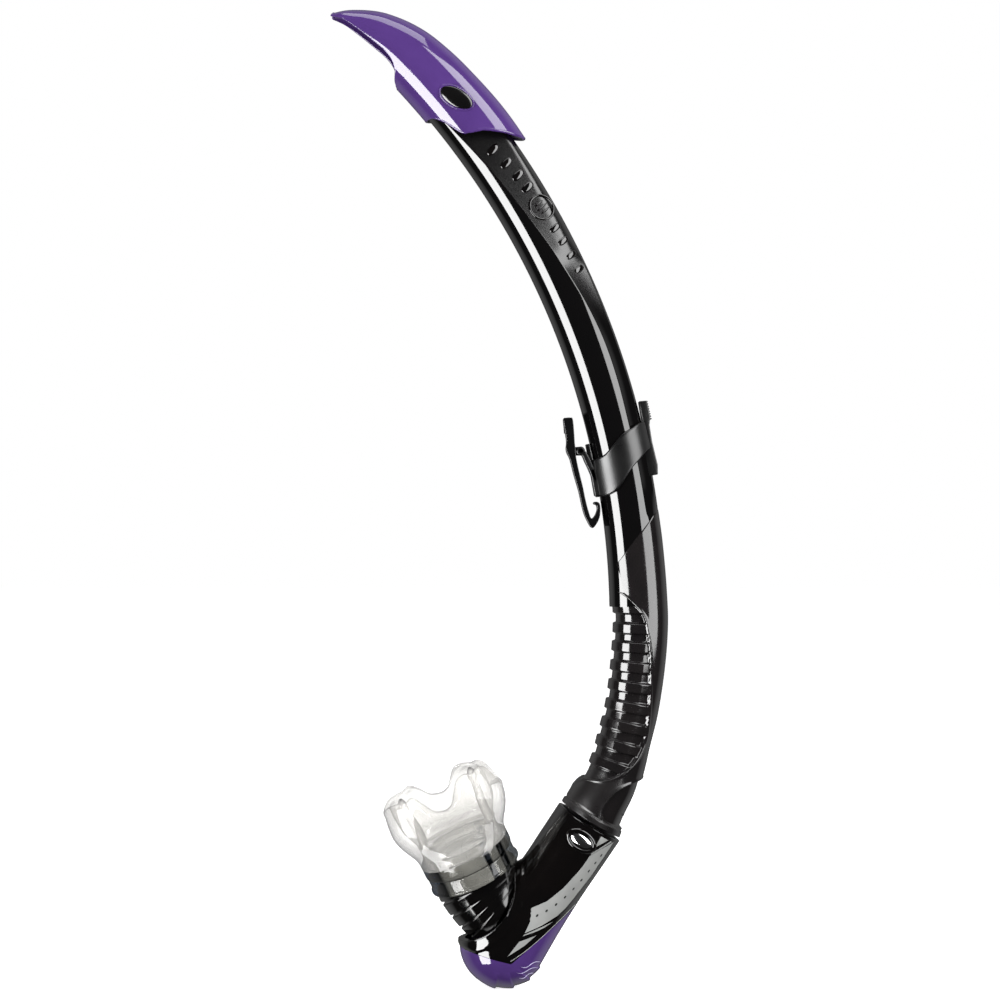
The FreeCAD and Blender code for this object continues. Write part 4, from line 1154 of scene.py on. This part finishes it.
def build_chamber_body():
    body = copy_form("chamber_shell")
    boolean(body, below_seam("v0", 0.0))
    # mouth of the chamber, cut square to its arm
    boolean(body, cylinder("cap", ARM_TOP + ARM_AXIS * 20, ARM_AXIS, 60, 40, sides=64))
    boolean(body, stack("inner", arm_sections(inset=2.0, beyond=3.0)))
    boolean(body, cylinder("recess", np.array([RECESS_X, 0, RECESS_Z]), EY, RECESS_R, 120,
                           sides=256))
    boolean(body, stack("hole", socket_sections(inset=1.7, beyond=14.0)))
    set_material(body, CHAMBER)
    place(shade(body, 58), "chamber", replaces="chamber_body")


def build_purge_cover():
    cover = copy_form("purge_cover_shell")
    boolean(cover, below_seam("v1", -0.18), "INTERSECT")
    set_material(cover, COVER_PURPLE)
    place(shade(cover, 62), "chamber", replaces="purge_cover")


def build_mouth_rim():
    """Bead round the chamber's mouth."""
    ring = oval(ARM_TOP, ARM_ACROSS, EY, 15.55, 15.05, 120) - ARM_AXIS * 0.45
    rim = tube("chamber_mouth_rim", ring, 0.5, CHAMBER, closed=True, sides=12)
    place(rim, "chamber")


CHAMBER_FORM = build_chamber_form()
build_chamber_body()
build_purge_cover()
build_mouth_rim()
bpy.context.view_layer.update()
FORM_TREE = BVHTree.FromPolygons([tuple(place_) for place_ in working_coords(CHAMBER_FORM)],
                                 [tuple(face.vertices) for face in CHAMBER_FORM.data.polygons])


def skin_point(x, z, side, lift=0.0):
    """Point on the chamber's flank straight in from the side, and its outward direction."""
    hit, normal, _, _ = FORM_TREE.ray_cast(Vector((x, side * 60.0, z)), Vector((0, -side, 0)))
    if hit is None:
        return None, None
    normal = np.array(normal)
    if normal[1] * side < 0:
        normal = -normal
    return np.array(hit) + normal * lift, normal


def skin_path(path, side, lift, least_y=-math.inf):
    """XZ path laid on the flank, without points that miss it or lie nearer Y = 0 than least_y."""
    points = [skin_point(x, z, side, lift)[0] for x, z in path]
    return [point for point in points if point is not None and point[1] * side > least_y]


def build_recess_lip():
    lips = []
    radius = RECESS_R + 0.3
    for side, _ in SIDES:
        path = [(RECESS_X + radius * math.cos(angle), RECESS_Z + radius * math.sin(angle))
                for angle in np.radians(np.linspace(-128, 24, 220))]
        path = [(x, z) for x, z in path if above_line(SEAM_LEFT, SEAM_VEE, x, z) >= 0.4]
        points = skin_path(path, side, -0.28, least_y=0.3)
        if len(points) > 8:
            lips.append(tube("lip", np.array(points), 0.42, CHAMBER))
    lip = join("chamber_recess_lip", lips, CHAMBER)
    lip.data.shade_smooth()
    place(lip, "chamber")


build_recess_lip()

# ---------------------------------------------------------------------------
# silver badge, dots and printed waves on both flanks of the chamber
# ---------------------------------------------------------------------------
# XZ outlines of the inlays; given finely, as straight runs are filled with triangles
BADGE = {
    "swoosh": [
        (51.63668182, 66.15020455), (45.95522727, 63.53140909), (40.89518182, 60.77945455),
        (38.18761364, 56.69590909), (35.3025, 53.23377273), (29.04402273, 46.53143182),
        (21.89781818, 40.98313636), (15.15109091, 38.18679545), (14.57406818, 32.28340909),
        (12.08843182, 26.95704545), (19.32340909, 29.93093182), (26.55838636, 34.01447727),
        (30.42, 37.38784091), (33.79336364, 41.38261364), (41.69413636, 51.28077273),
        (46.84295455, 58.91522727)],
    "tri_top": [
        (46.08838636, 69.56795455), (49.23981818, 67.52618182), (43.1145, 64.55229545)],
    "sliver": [
        (50.39386364, 66.90477273), (50.9265, 66.50529545), (41.73852273, 61.40086364),
        (41.29465909, 61.75595455)],
    "stripe": [
        (11.20070455, 25.62545455), (11.77772727, 26.24686364), (24.29468182, 31.26252273),
        (21.09886364, 29.17636364), (17.54795455, 27.62284091)],
    "tri_low": [
        (9.55840909, 23.13981818), (17.05970455, 25.62545455), (11.77772727, 21.18681818),
        (4.36520455, 16.57063636)],
}
BADGE_LINE = [(5.74118, 14.30693), (11.77773, 18.3017), (17.99182, 23.13982),
              (26.42523, 30.50795), (34.72548, 38.05364)]
BADGE_DOTS = [(46.17716, 60.69068), (43.51398, 57.3617), (40.62886, 53.8108),
              (37.29989, 49.81602), (33.74898, 46.04318), (29.97614, 42.49227),
              (25.98136, 39.38523), (21.76466, 36.72205), (17.54795, 34.72466)]
DOT_DIRECTION = np.array([0.62, 0, 0.78])
# start x, start z, length
WAVES = [(10.44614, 11.42182, 9.765), (8.67068, 8.75864, 10.65273), (9.55841, 6.09545, 7.98955)]
WAVE_RISE, WAVE_SWING, WAVE_TURNS = 1.42036, 0.6658, 1.2


def build_inlay(name, outline, side):
    """Outline filled with a fine mesh, laid on the flank and thickened."""
    step = 0.8
    outline = np.array(outline, float)
    dense = []
    for start, end in zip(outline, np.roll(outline, -1, 0)):
        count = max(1, int(np.linalg.norm(end - start) / step))
        dense += [start + (end - start) * j / count for j in range(count)]
    work = bmesh.new()
    face = work.faces.new([work.verts.new((x, 0, z)) for x, z in dense])
    bmesh.ops.triangulate(work, faces=[face])
    for _ in range(5):
        long_edges = [edge for edge in work.edges if edge.calc_length() > step * 1.6]
        if not long_edges:
            break
        bmesh.ops.subdivide_edges(work, edges=long_edges, cuts=1)
        bmesh.ops.triangulate(work, faces=work.faces[:])
    for vert in work.verts:
        point, _ = skin_point(vert.co.x, vert.co.z, side, 0.10)
        if point is None:
            # stands in for a point that misses the chamber
            point = np.array([vert.co.x, side * 3.0, vert.co.z])
        vert.co = Vector(to_scene(point))
    bmesh.ops.recalc_face_normals(work, faces=work.faces)
    mesh = bpy.data.meshes.new(name)
    work.to_mesh(mesh)
    work.free()
    obj = link_object(name, mesh)
    if sum(face.normal.y * face.area for face in mesh.polygons) * side < 0:
        mesh.flip_normals()
    mesh.materials.append(SILVER)
    return shade(thicken(obj, 0.0003), 60)


def build_badge(side, label):
    parts = [build_inlay("badge_%s_%s" % (key, label), outline, side)
             for key, outline in BADGE.items()]
    # line along the joint with the cover
    path = skin_path(smooth_line(BADGE_LINE, 10, closed=False), side, 0.02)
    parts.append(tube("badge_line_" + label, np.array(path), 0.16, SILVER, sides=6))
    badge = join("badge_plate_" + label, parts, SILVER)
    place(badge, "chamber", replaces="badge_" + label)


def build_badge_dots(side, label):
    verts, faces = [], []
    for x, z in BADGE_DOTS:
        point, normal = skin_point(x, z, side, 0.12)
        if point is None:
            continue
        across = unit(DOT_DIRECTION - normal * (DOT_DIRECTION @ normal))
        add_bump(verts, faces, point, (across, np.cross(normal, across), normal),
                 half_sizes=(1.15, 0.7), height=0.12)
    dots = make("badge_dots_" + label, np.array(verts), faces, MATTE)
    place(dots, "chamber")


def build_waves(side, label):
    waves = []
    for start_x, start_z, length in WAVES:
        path = []
        for i in range(25):
            part = i / 24
            swing = WAVE_SWING * math.sin(part * 2 * math.pi * WAVE_TURNS)
            path.append((start_x + length * part, start_z + WAVE_RISE * part - swing))
        points = skin_path(path, side, 0.0, least_y=5.5)
        if len(points) > 6:
            radius = 0.22 * np.sin(np.linspace(0.12, np.pi - 0.12, len(points)))
            waves.append(tube("w", np.array(points), radius, PALE, sides=6))
    if waves:
        place(join("cover_wave_lines_" + label, waves, PALE), "chamber")


for side, label in SIDES:
    build_badge(side, label)
    build_badge_dots(side, label)
    build_waves(side, label)

# ---------------------------------------------------------------------------
# push buttons, each in a raised rim with a short contour line beside it
# ---------------------------------------------------------------------------
BUTTON_RIM_A, BUTTON_RIM_B = 5.4, 2.95      # half-sizes of the rim's inner edge
# rim section: distance outside the inner edge, height
BUTTON_RIM = [(0.0, -0.4), (0.2, 0.25), (0.6, 0.5), (1.1, 0.5), (1.6, 0.25), (2.0, -0.3)]
CONTOUR = [(30.64193, 76.66977), (28.64455, 74.00659), (26.64716, 70.89955), (25.09364, 67.7925)]


def build_buttons():
    low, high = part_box("release_button_left")
    middle = (np.array(low) + np.array(high)) / 2 * MM + OFFSET
    for side, label in SIDES:
        normal = EY * side
        base, _ = skin_point(middle[0], middle[2], side)
        button = dome("release_button_dome_" + label, base - normal * 0.9,
                      (ARM_ACROSS, ARM_AXIS, normal), (5.15, 2.7), 1.75, CHROME)
        place(button, "button_" + label, replaces="release_button_" + label)
        rows = [oval(base, ARM_ACROSS, ARM_AXIS, BUTTON_RIM_A + out, BUTTON_RIM_B + out, 90)
                + normal * z for out, z in BUTTON_RIM]
        rim = grid("button_rim_" + label, np.array(rows), CHAMBER)
        path = skin_path(smooth_line(CONTOUR, 8, closed=False), side, -0.12)
        contour = tube("contour", np.array(path), 0.38, CHAMBER, sides=8)
        surround = join("button_surround_" + label, [rim, contour], CHAMBER)
        place(shade(surround, 60), "chamber")


build_buttons()

# ---------------------------------------------------------------------------
# elbow bellows: folds that fan out from the inner corner
# ---------------------------------------------------------------------------
# ends (x, z) of each fold from the ring to the socket, and half-width in Y
FAN_OUTER = np.array([(-29.2, 43.6), (-27.6, 40.3), (-24.0, 34.7), (-20.3, 29.7), (-16.5, 25.4),
                      (-12.6, 21.8), (-8.0, 18.6)])
FAN_INNER = np.array([(8.7, 60.6), (8.9, 58.7), (9.4, 56.3), (9.7, 54.3), (9.9, 52.4),
                      (10.2, 50.4), (10.6, 48.2)])
FAN_HALF_Y = np.array([18.6, 17.9, 16.9, 16.2, 15.7, 15.3, 14.9])


def build_bellows():
    fold = np.arange(7.0)
    rows, cols = 300, 140
    angle = turn(cols)
    outer_part = 0.5 - 0.5 * np.cos(angle)        # 1 at the outer end, 0 at the inner corner
    points = []
    for spot in np.linspace(0, 6, rows):
        outer, inner = curve(fold, FAN_OUTER, spot), curve(fold, FAN_INNER, spot)
        half_y = float(curve(fold, FAN_HALF_Y, spot))
        outer, inner = np.array([outer[0], 0, outer[1]]), np.array([inner[0], 0, inner[1]])
        half = np.linalg.norm((inner - outer) / 2)
        phase = ((spot - 1.0) * 0.9) % 1.0
        # 1 on a ridge, 0 in a valley
        ridge = float(ease(0.05, 0.13, abs(phase - 0.5))) if spot > 0.62 else 0.5
        inset = (0.75 + 1.25 * (1 - ridge)) * (0.42 + 0.58 * outer_part)
        section = oval((outer + inner) / 2, unit(inner - outer), EY, half - inset,
                       half_y - 0.6 - 0.11 * (1 - ridge), cols)
        # near the ring the fold follows the ring's own leaning circle
        near_ring = 1 - float(ease(0.0, 1.6, spot))
        circle = oval(RING_CENTRE - RING_AXIS * (0.4 + 3.0 * spot), RING_X, RING_Y,
                      18.9, 18.9, cols)
        points.append(section * (1 - near_ring) + circle * near_ring)
    bellows = weld(grid("elbow_bellows_folds", np.array(points), SILICONE))
    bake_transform(bellows)
    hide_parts("elbow_bellows")


build_bellows()

# ---------------------------------------------------------------------------
# swivel rings, turned about the ring's axis
# ---------------------------------------------------------------------------
RING_TOP = 13.3                    # height at which the mouthpiece starts
# radius, height above the ring's centre
LOWER_RING = [(16.2, 0.0), (21.3, 0.0), (21.3, 1.15), (20.5, 1.35), (20.5, 6.5), (20.1, 6.95),
              (18.2, 6.95), (18.2, 11.2), (16.2, 11.2)]
UPPER_RING = [(18.5, 7.3), (20.75, 7.3), (20.95, 8.0), (20.95, 12.3), (20.7, RING_TOP),
              (18.5, RING_TOP), (18.5, 16.6), (16.4, 16.6), (16.4, 12.0), (18.5, 12.0)]


def rounded(profile, radius=0.28, steps=3):
    """Rounds every corner of a closed outline."""
    profile = np.asarray(profile, float)
    out = []
    for before, corner, after in zip(np.roll(profile, 1, 0), profile, np.roll(profile, -1, 0)):
        back, ahead = np.linalg.norm(before - corner), np.linalg.norm(after - corner)
        cut = min(radius, back * 0.45, ahead * 0.45)
        start = corner + (before - corner) / back * cut
        end = corner + (after - corner) / ahead * cut
        for j in range(steps + 1):
            part = j / steps
            out.append((1 - part)**2 * start + 2 * part * (1 - part) * corner + part * part * end)
    return np.array(out)


def build_ring(name, profile, rides, replaces):
    rows = [oval(RING_CENTRE, RING_X, RING_Y, radius, radius, 160) + RING_AXIS * height
            for radius, height in rounded(profile)]
    ring = shade(weld(grid(name, np.array(rows + rows[:1]), SMOKE)), 38)
    place(ring, rides, replaces=replaces)


build_ring("swivel_lower_band", LOWER_RING, "swivel_base", "swivel_lower_ring")
build_ring("swivel_upper_band", UPPER_RING, "mouthpiece", "swivel_upper_ring")

# ---------------------------------------------------------------------------
# mouthpiece, drawn in the ring's axes from the top of the upper ring
# ---------------------------------------------------------------------------
MOUTH_BASE = RING_CENTRE + RING_AXIS * RING_TOP
# height, shift in x, outer half-sizes in x and y, inner half-sizes in x and y
MOUTH = np.array([
    (0.0, 0.0, 20.9, 20.6, 18.9, 18.7), (2.5, 0.1, 21.1, 19.9, 18.6, 17.2),
    (5.5, 0.3, 22.2, 18.0, 18.2, 11.5), (9.0, 0.5, 24.3, 16.4, 18.6, 7.0),
    (13.0, 0.6, 26.2, 15.7, 20.2, 6.6), (17.5, 0.65, 27.3, 15.8, 22.0, 8.8),
    (22.0, 0.7, 27.2, 15.6, 22.6, 10.8), (26.0, 0.6, 26.6, 14.8, 22.8, 11.4),
    (30.0, 0.3, 25.4, 13.2, 22.4, 10.9), (33.5, 0.0, 23.4, 10.6, 21.4, 9.2)])
# top edge: x, height
CREST = np.array([
    (-27.5, 21.0), (-25.6, 29.0), (-23.6, 31.6), (-21.0, 32.4), (-14.4, 32.2), (-10.9, 33.0),
    (-8.2, 29.6), (-4.5, 24.4), (-1.0, 22.8), (2.4, 22.6), (5.1, 23.9), (8.0, 27.6),
    (10.8, 31.3), (15.0, 32.8), (19.4, 31.4), (23.5, 31.7), (25.8, 28.6), (27.5, 21.0)])
# bite tab: height, distance out from TAB_X, half-size in x, half-size in y
BITE_TAB = np.array([(9.0, 6.2, 2.0, 9.5), (14.0, 6.0, 2.0, 9.0), (20.0, 6.6, 1.9, 7.8),
                     (26.0, 7.2, 1.7, 6.4), (30.0, 7.4, 1.9, 5.6), (31.4, 7.4, 1.2, 4.6)])
TAB_MIDDLE, TAB_X = 0.6, 9.6


def mouth_point(x, y, z):
    return (MOUTH_BASE + np.asarray(x)[..., None] * RING_X + np.asarray(y)[..., None] * RING_Y
            + np.asarray(z)[..., None] * RING_AXIS)


def build_mouth_body():
    angle = turn(240)
    cos, sin = np.cos(angle), np.sin(angle)
    squareness = 0.86

    def skin(z, inner):
        sizes = curve(MOUTH[:, 0], MOUTH[:, 1:], z)
        half_x, half_y = (sizes[..., 3], sizes[..., 4]) if inner else (sizes[..., 1], sizes[..., 2])
        return (sizes[..., 0] + half_x * np.sign(cos) * np.abs(cos) ** squareness,
                half_y * np.sign(sin) * np.abs(sin) ** squareness)

    # crest height of every column
    crest = np.full(len(angle), 24.0)
    for _ in range(30):
        x, _y = skin(crest, False)
        crest = crest + (curve(CREST[:, 0], CREST[:, 1], np.clip(x, -27.5, 27.5)) - crest) * 0.4
    rows = []
    for part in np.linspace(0, 1, 90):
        z = crest * part
        x, y = skin(z, False)
        flare = 0.5 * bell(z - crest, -0.8, 1.0)
        rows.append((x + flare * cos, y + flare * sin, z))
    # rolled edge from the outer skin to the inner one
    outer_x, outer_y = skin(crest, False)
    inner_x, inner_y = skin(crest, True)
    for k in range(1, 8):
        part = k / 8
        blend = (1 - math.cos(math.pi * part)) / 2
        rows.append((outer_x * (1 - blend) + inner_x * blend,
                     outer_y * (1 - blend) + inner_y * blend,
                     crest + 0.75 * math.sin(math.pi * part)))
    for part in np.linspace(1, 0, 80):
        z = crest * part
        rows.append((*skin(z, True), z))
    points = [mouth_point(*row) for row in rows]
    return weld(grid("mouthpiece_body", np.array(points + points[:1]), CLEAR))


def build_bite_tab(side):
    sections = []
    for z in np.linspace(9.0, 31.4, 40):
        out, half_x, half_y = curve(BITE_TAB[:, 0], BITE_TAB[:, 1:], z)
        centre = mouth_point(TAB_MIDDLE + side * (TAB_X + out), 0.0, z)
        sections.append((centre, RING_X, RING_Y, half_x, half_y))
    return stack("tab", sections, CLEAR, sides=64)


def build_mouthpiece():
    parts = [build_mouth_body(), build_bite_tab(-1), build_bite_tab(1)]
    # collar round the airway's slit
    slit = oval(mouth_point(0.5, 0.0, 8.2), RING_X, RING_Y, 18.3, 6.9, 100)
    parts.append(tube("slit", slit, 0.7, CLEAR, closed=True, sides=8))
    mouthpiece = shade(join("mouthpiece_silicone", parts, CLEAR), 60)
    place(mouthpiece, "mouthpiece", replaces="mouthpiece")


build_mouthpiece()

# ---------------------------------------------------------------------------
# keeper: band round the barrel, spine with finger pad, strap seat, forked arm
# ---------------------------------------------------------------------------
BAND_GAP, BAND_WALL = 0.12, 1.95
# edges of the band, as (x, z)
BAND_TOP = [(39.0, 236.4), (43.6, 237.2), (47.8, 239.3), (50.9, 242.7), (55.7, 248.4),
            (59.6, 250.9), (64.1, 253.8), (68.1, 253.9), (73.0, 253.9)]
BAND_BOTTOM = [(75.0, 240.0), (70.2, 240.6), (68.1, 241.9), (66.4, 241.0), (63.0, 236.9),
               (59.6, 232.8), (54.2, 224.4), (51.5, 222.2), (47.9, 220.8), (40.0, 219.6)]
# radius, phi
SPINE = np.array([(372.7, 9.95), (378.6, 9.95), (379.3, 10.6), (378.9, 12.2), (379.4, 13.35),
                  (380.6, 13.9), (381.0, 15.0), (377.4, 15.1), (376.9, 14.4), (376.6, 13.2),
                  (373.2, 12.9)])
KEEPER_TAB = np.array([(349.3, 11.3), (349.5, 13.05), (351.2, 13.05), (351.2, 11.3)])
SEAT_R, SEAT_PHI, SEAT_HALF, SEAT_DEPTH = 349.0, 10.2, 6.3, 2.6
# outlines as (x, z)
FORK_SIDE = [(36.9, 242.85), (38.2, 242.6), (39.6, 240.6), (41.3, 237.6), (42.3, 235.2),
             (44.2, 230.6), (44.6, 227.6), (42.9, 227.9), (40.9, 232.4), (39.2, 236.0),
             (37.9, 238.9), (36.6, 239.1), (35.5, 240.0), (35.4, 241.9)]
FORK_MIDDLE = [(40.3, 239.6), (41.3, 237.6), (42.3, 235.2), (44.2, 230.6), (44.6, 227.6),
               (42.9, 227.9), (40.9, 232.4), (39.4, 235.9), (39.4, 238.4)]
LEVER = [(29.5, 255.2), (30.1, 250.6), (30.9, 245.6), (30.7, 242.0), (31.2, 239.9), (32.5, 237.1),
         (34.2, 230.4), (36.5, 222.5), (38.4, 214.1), (40.4, 209.2), (42.4, 206.4), (44.4, 208.4),
         (45.7, 211.3), (46.1, 214.4), (45.8, 217.2), (44.6, 218.2), (43.2, 217.9), (43.3, 217.0),
         (44.4, 216.5), (44.7, 214.6), (43.7, 211.9), (42.1, 210.7), (40.9, 213.5), (39.4, 219.2),
         (38.25, 224.8), (36.6, 231.5), (35.5, 236.5), (35.05, 239.4), (34.9, 242.2),
         (34.6, 244.6), (34.3, 249.5), (33.7, 255.2), (32.6, 255.9), (30.4, 255.8)]
LEVER_WEB = [(34.4, 242.7), (37.3, 243.0), (37.3, 239.0), (34.6, 239.0)]


def edge_phi(edge, radius):
    """Phi of a band edge at the given radii."""
    line = smooth_line(edge, 12, closed=False)
    radii, phi = arc_coords(np.stack([line[:, 0], 0 * line[:, 0], line[:, 1]], -1))
    order = np.argsort(radii)
    return np.interp(radius, radii[order], phi[order])


def build_keeper_band():
    angle = turn(200)
    edge, drop = 0.055, 0.35       # rounded edges, as parts of the width and the wall

    def falling(spin):
        return 1 - drop + drop * math.cos(spin)

    # section: part of the width, part of the wall's thickness
    section = [(part, 1.0) for part in np.linspace(edge, 1 - edge, 22)]
    section += [(1 - edge + edge * math.sin(spin), falling(spin))
                for spin in np.linspace(0, math.pi / 2, 6)[1:]]
    section += [(1.0, 0.0)]
    section += [(part, 0.0) for part in np.linspace(1 - edge, edge, 8)]
    section += [(0.0, 0.0)]
    section += [(edge - edge * math.sin(spin), falling(spin))
                for spin in np.linspace(math.pi / 2, 0, 6)[:-1]]
    middle = ARC_R + (BARREL_A + BAND_GAP + BAND_WALL * 0.5) * np.cos(angle)
    top, bottom = edge_phi(BAND_TOP, middle), edge_phi(BAND_BOTTOM, middle)
    rows = []
    for width, thick in section:
        out = BAND_GAP + BAND_WALL * thick
        rows.append(arc_point(ARC_R + (BARREL_A + out) * np.cos(angle),
                              bottom + (top - bottom) * width,
                              -(BARREL_B + out) * np.sin(angle)))
    return weld(grid("keeper_band_wrap", np.array(rows + rows[:1]), SATIN))


def build_keeper():
    spine = arc_point(*SPINE.T)[:, [0, 2]]
    tab = arc_point(*KEEPER_TAB.T)[:, [0, 2]]
    origin = arc_point(SEAT_R, SEAT_PHI)
    out, half = outward(SEAT_PHI) * SEAT_DEPTH, upward(SEAT_PHI) * SEAT_HALF
    seat = np.array([origin - half, origin + half, origin + half + out, origin - half + out])
    fork = smooth_line(FORK_SIDE, 4)
    parts = [
        build_keeper_band(),
        extrude("keeper_spine", spine, -4.4, 4.4, SATIN, bevel=0.45),
        extrude("keeper_seat", seat[:, [0, 2]], -6.0, 6.0, SATIN, bevel=0.5),
        extrude("keeper_tab", tab, -3.4, 3.4, SATIN, bevel=0.3),
        extrude("keeper_arm_a", fork, -6.0, -3.2, SATIN),
        extrude("keeper_arm_b", fork, 3.2, 6.0, SATIN),
        extrude("keeper_arm_c", smooth_line(FORK_MIDDLE, 4), -3.6, 3.6, SATIN, bevel=0.3)]
    # ribs on the finger pad
    parts += [cross_rib(arc_point(380.75 + 0.02 * k, 13.75 + k * 0.17), 3.6, 0.33, SATIN)
              for k in range(8)]
    keeper = shade(join("keeper_body", parts, SATIN), 50)
    place(keeper, "keeper", replaces="keeper_band")


def build_lever():
    plate = extrude("lever_plate", smooth_line(LEVER, 4), -6.0, 6.0, LEVER_BLACK, bevel=0.35)
    lug = cylinder("lug", np.array([PIVOT[0], 0, PIVOT[2]]), EY, 2.0, 6.0, sides=48)
    lug.data.materials.append(LEVER_BLACK)
    web = extrude("web", LEVER_WEB, -3.0, 3.0, LEVER_BLACK, bevel=0.2)
    ribs = []
    for k in range(8):
        z = 249.4 + k * 0.78
        x = 30.25 - 0.085 * (z - 250.0)
        ribs.append(cross_rib(np.array([x, 0.0, z]), 5.2, 0.42, LEVER_BLACK))
    lever = shade(join("keeper_lever_hook", [plate, lug, web] + ribs, LEVER_BLACK), 50)
    place(lever, "lever", replaces="keeper_lever")


build_keeper()
build_lever()

# ---------------------------------------------------------------------------
# finishes of the CAD nodes
# ---------------------------------------------------------------------------
NODE_FINISHES = [
    (MATTE, ["guard_collar", "splash_baffle", "hose_coupling", "purge_seat"]),
    (RUBBER, ["coupling_o_ring", "swivel_seal"]),
    (STEEL, ["button_spring"]),
    (CLEAR, ["purge_valve", "mouthpiece"]),
    (SATIN, ["keeper_pin", "keeper_band", "keeper_lever"]),
    (BLACK, ["barrel_tube"]),
    (PURPLE, ["splash_guard", "purge_cover"]),
    (CHAMBER, ["guard_plug_left", "guard_plug_right", "chamber_body"]),
    (SILICONE, ["flex_hose", "elbow_bellows"]),
    (CHROME, ["release_button_left", "release_button_right"]),
    (SILVER, ["badge_left", "badge_right"]),
    (SMOKE, ["swivel_lower_ring", "swivel_upper_ring"]),
]
for mat, names in NODE_FINISHES:
    for name in names:
        set_material(frame["nodes"][name], mat)

bpy.data.objects.remove(CHAMBER_FORM)

# ---------------------------------------------------------------------------
# stage, in metres: pale floor, bright backdrop, soft boxes, camera
# ---------------------------------------------------------------------------
low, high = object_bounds()

AIM = Vector(to_scene((1.1, 0.0, 219.0)))
CAMERA_DISTANCE, VIEW_WIDTH, SENSOR_WIDTH = 1.10, 0.450, 36.0


def build_floor(z):
    """Glowing floor that only the camera sees directly."""
    mat, tree, bsdf = new_material("floor_pale")
    bsdf.inputs["Base Color"].default_value = (0.9, 0.9, 0.9, 1)
    bsdf.inputs["Roughness"].default_value = 0.9
    bsdf.inputs["Emission Color"].default_value = (1, 1, 1, 1)
    glow = ranged(tree, noise(tree, scale=4.0, detail=2.0), out=(0.80, 0.84), span=(0.0, 1.0))
    tree.links.new(glow, bsdf.inputs["Emission Strength"])
    mesh = bpy.data.meshes.new("floor")
    corners = [(-3, -0.35, z), (3, -0.35, z), (3, 5, z), (-3, 5, z)]
    mesh.from_pydata(corners, [], [[0, 1, 2, 3]])
    floor = link_object("floor", mesh)
    mesh.materials.append(mat)
    floor.visible_glossy = False
    floor.visible_diffuse = False
    floor.visible_transmission = False


def build_world():
    """White to the camera; a graded grey surround to every other ray."""
    world = bpy.data.worlds.new("studio")
    bpy.context.scene.world = world
    world.use_nodes = True
    tree = world.node_tree
    background = tree.nodes["Background"]
    geometry = add_node(tree, "ShaderNodeNewGeometry")
    split = add_node(tree, "ShaderNodeSeparateXYZ")
    tree.links.new(geometry.outputs["Incoming"], split.inputs[0])
    # 1 straight behind the object, 0 beside it and on the camera's side
    behind = ranged(tree, split.outputs["Y"], out=(1.0, 0.0), span=(-1.0, 0.0))
    surround = grey_ramp(tree, behind, stops=[
        (0.0, 0.012), (0.04, 0.03), (0.14, 0.14), (0.38, 0.22), (0.62, 0.20), (0.80, 0.10),
        (1.0, 0.05)])
    gain = 2.6
    ambient = calc(tree, "MULTIPLY", surround, gain)
    to_camera = add_node(tree, "ShaderNodeLightPath").outputs["Is Camera Ray"]
    ambient = calc(tree, "MULTIPLY", ambient, calc(tree, "SUBTRACT", 1.0, to_camera))
    tree.links.new(calc(tree, "ADD", ambient, to_camera), background.inputs["Strength"])
    background.inputs["Color"].default_value = (1, 1, 1, 1)


def softbox(name, azimuth, elevation, distance, width, height, power, rise=0.0):
    """Rectangle facing the object; azimuth 0 is the camera's side, positive towards +X."""
    turned, raised = math.radians(azimuth), math.radians(elevation)
    direction = Vector((math.sin(turned) * math.cos(raised), -math.cos(turned) * math.cos(raised),
                        math.sin(raised)))
    light = bpy.data.lights.new(name, "AREA")
    light.shape = "RECTANGLE"
    light.size = width
    light.size_y = height
    light.energy = power
    light.color = (1, 1, 1)
    obj = bpy.data.objects.new(name, light)
    obj.location = AIM + direction * distance + Vector((0, 0, rise))
    obj.rotation_mode = "QUATERNION"
    obj.rotation_quaternion = direction.to_track_quat("Z", "Y")
    bpy.context.scene.collection.objects.link(obj)
    obj.visible_camera = False


def build_camera():
    """Camera on the -Y side, looking along +Y."""
    data = bpy.data.cameras.new("cam")
    camera = link_object("cam", data)
    camera.location = (AIM.x, AIM.y - CAMERA_DISTANCE, AIM.z)
    camera.rotation_mode = "QUATERNION"
    camera.rotation_quaternion = Vector((0, -1, 0)).to_track_quat("Z", "Y")
    data.sensor_width = SENSOR_WIDTH
    data.lens = SENSOR_WIDTH * CAMERA_DISTANCE / VIEW_WIDTH
    data.clip_start = 0.01
    data.clip_end = 50
    bpy.context.scene.camera = camera


build_floor(low.z)
build_world()
softbox("key_left", azimuth=-48, elevation=0, distance=1.0, width=0.53, height=1.14, power=40,
        rise=-0.54)
softbox("fill_right", azimuth=50, elevation=0, distance=1.0, width=0.60, height=1.6, power=27,
        rise=0.62)
softbox("top", azimuth=0, elevation=80, distance=1.1, width=0.9, height=0.5, power=7)
build_camera()
bpy.context.scene.cycles.transparent_max_bounces = 32
bpy.context.scene.view_settings.view_transform = "Standard"
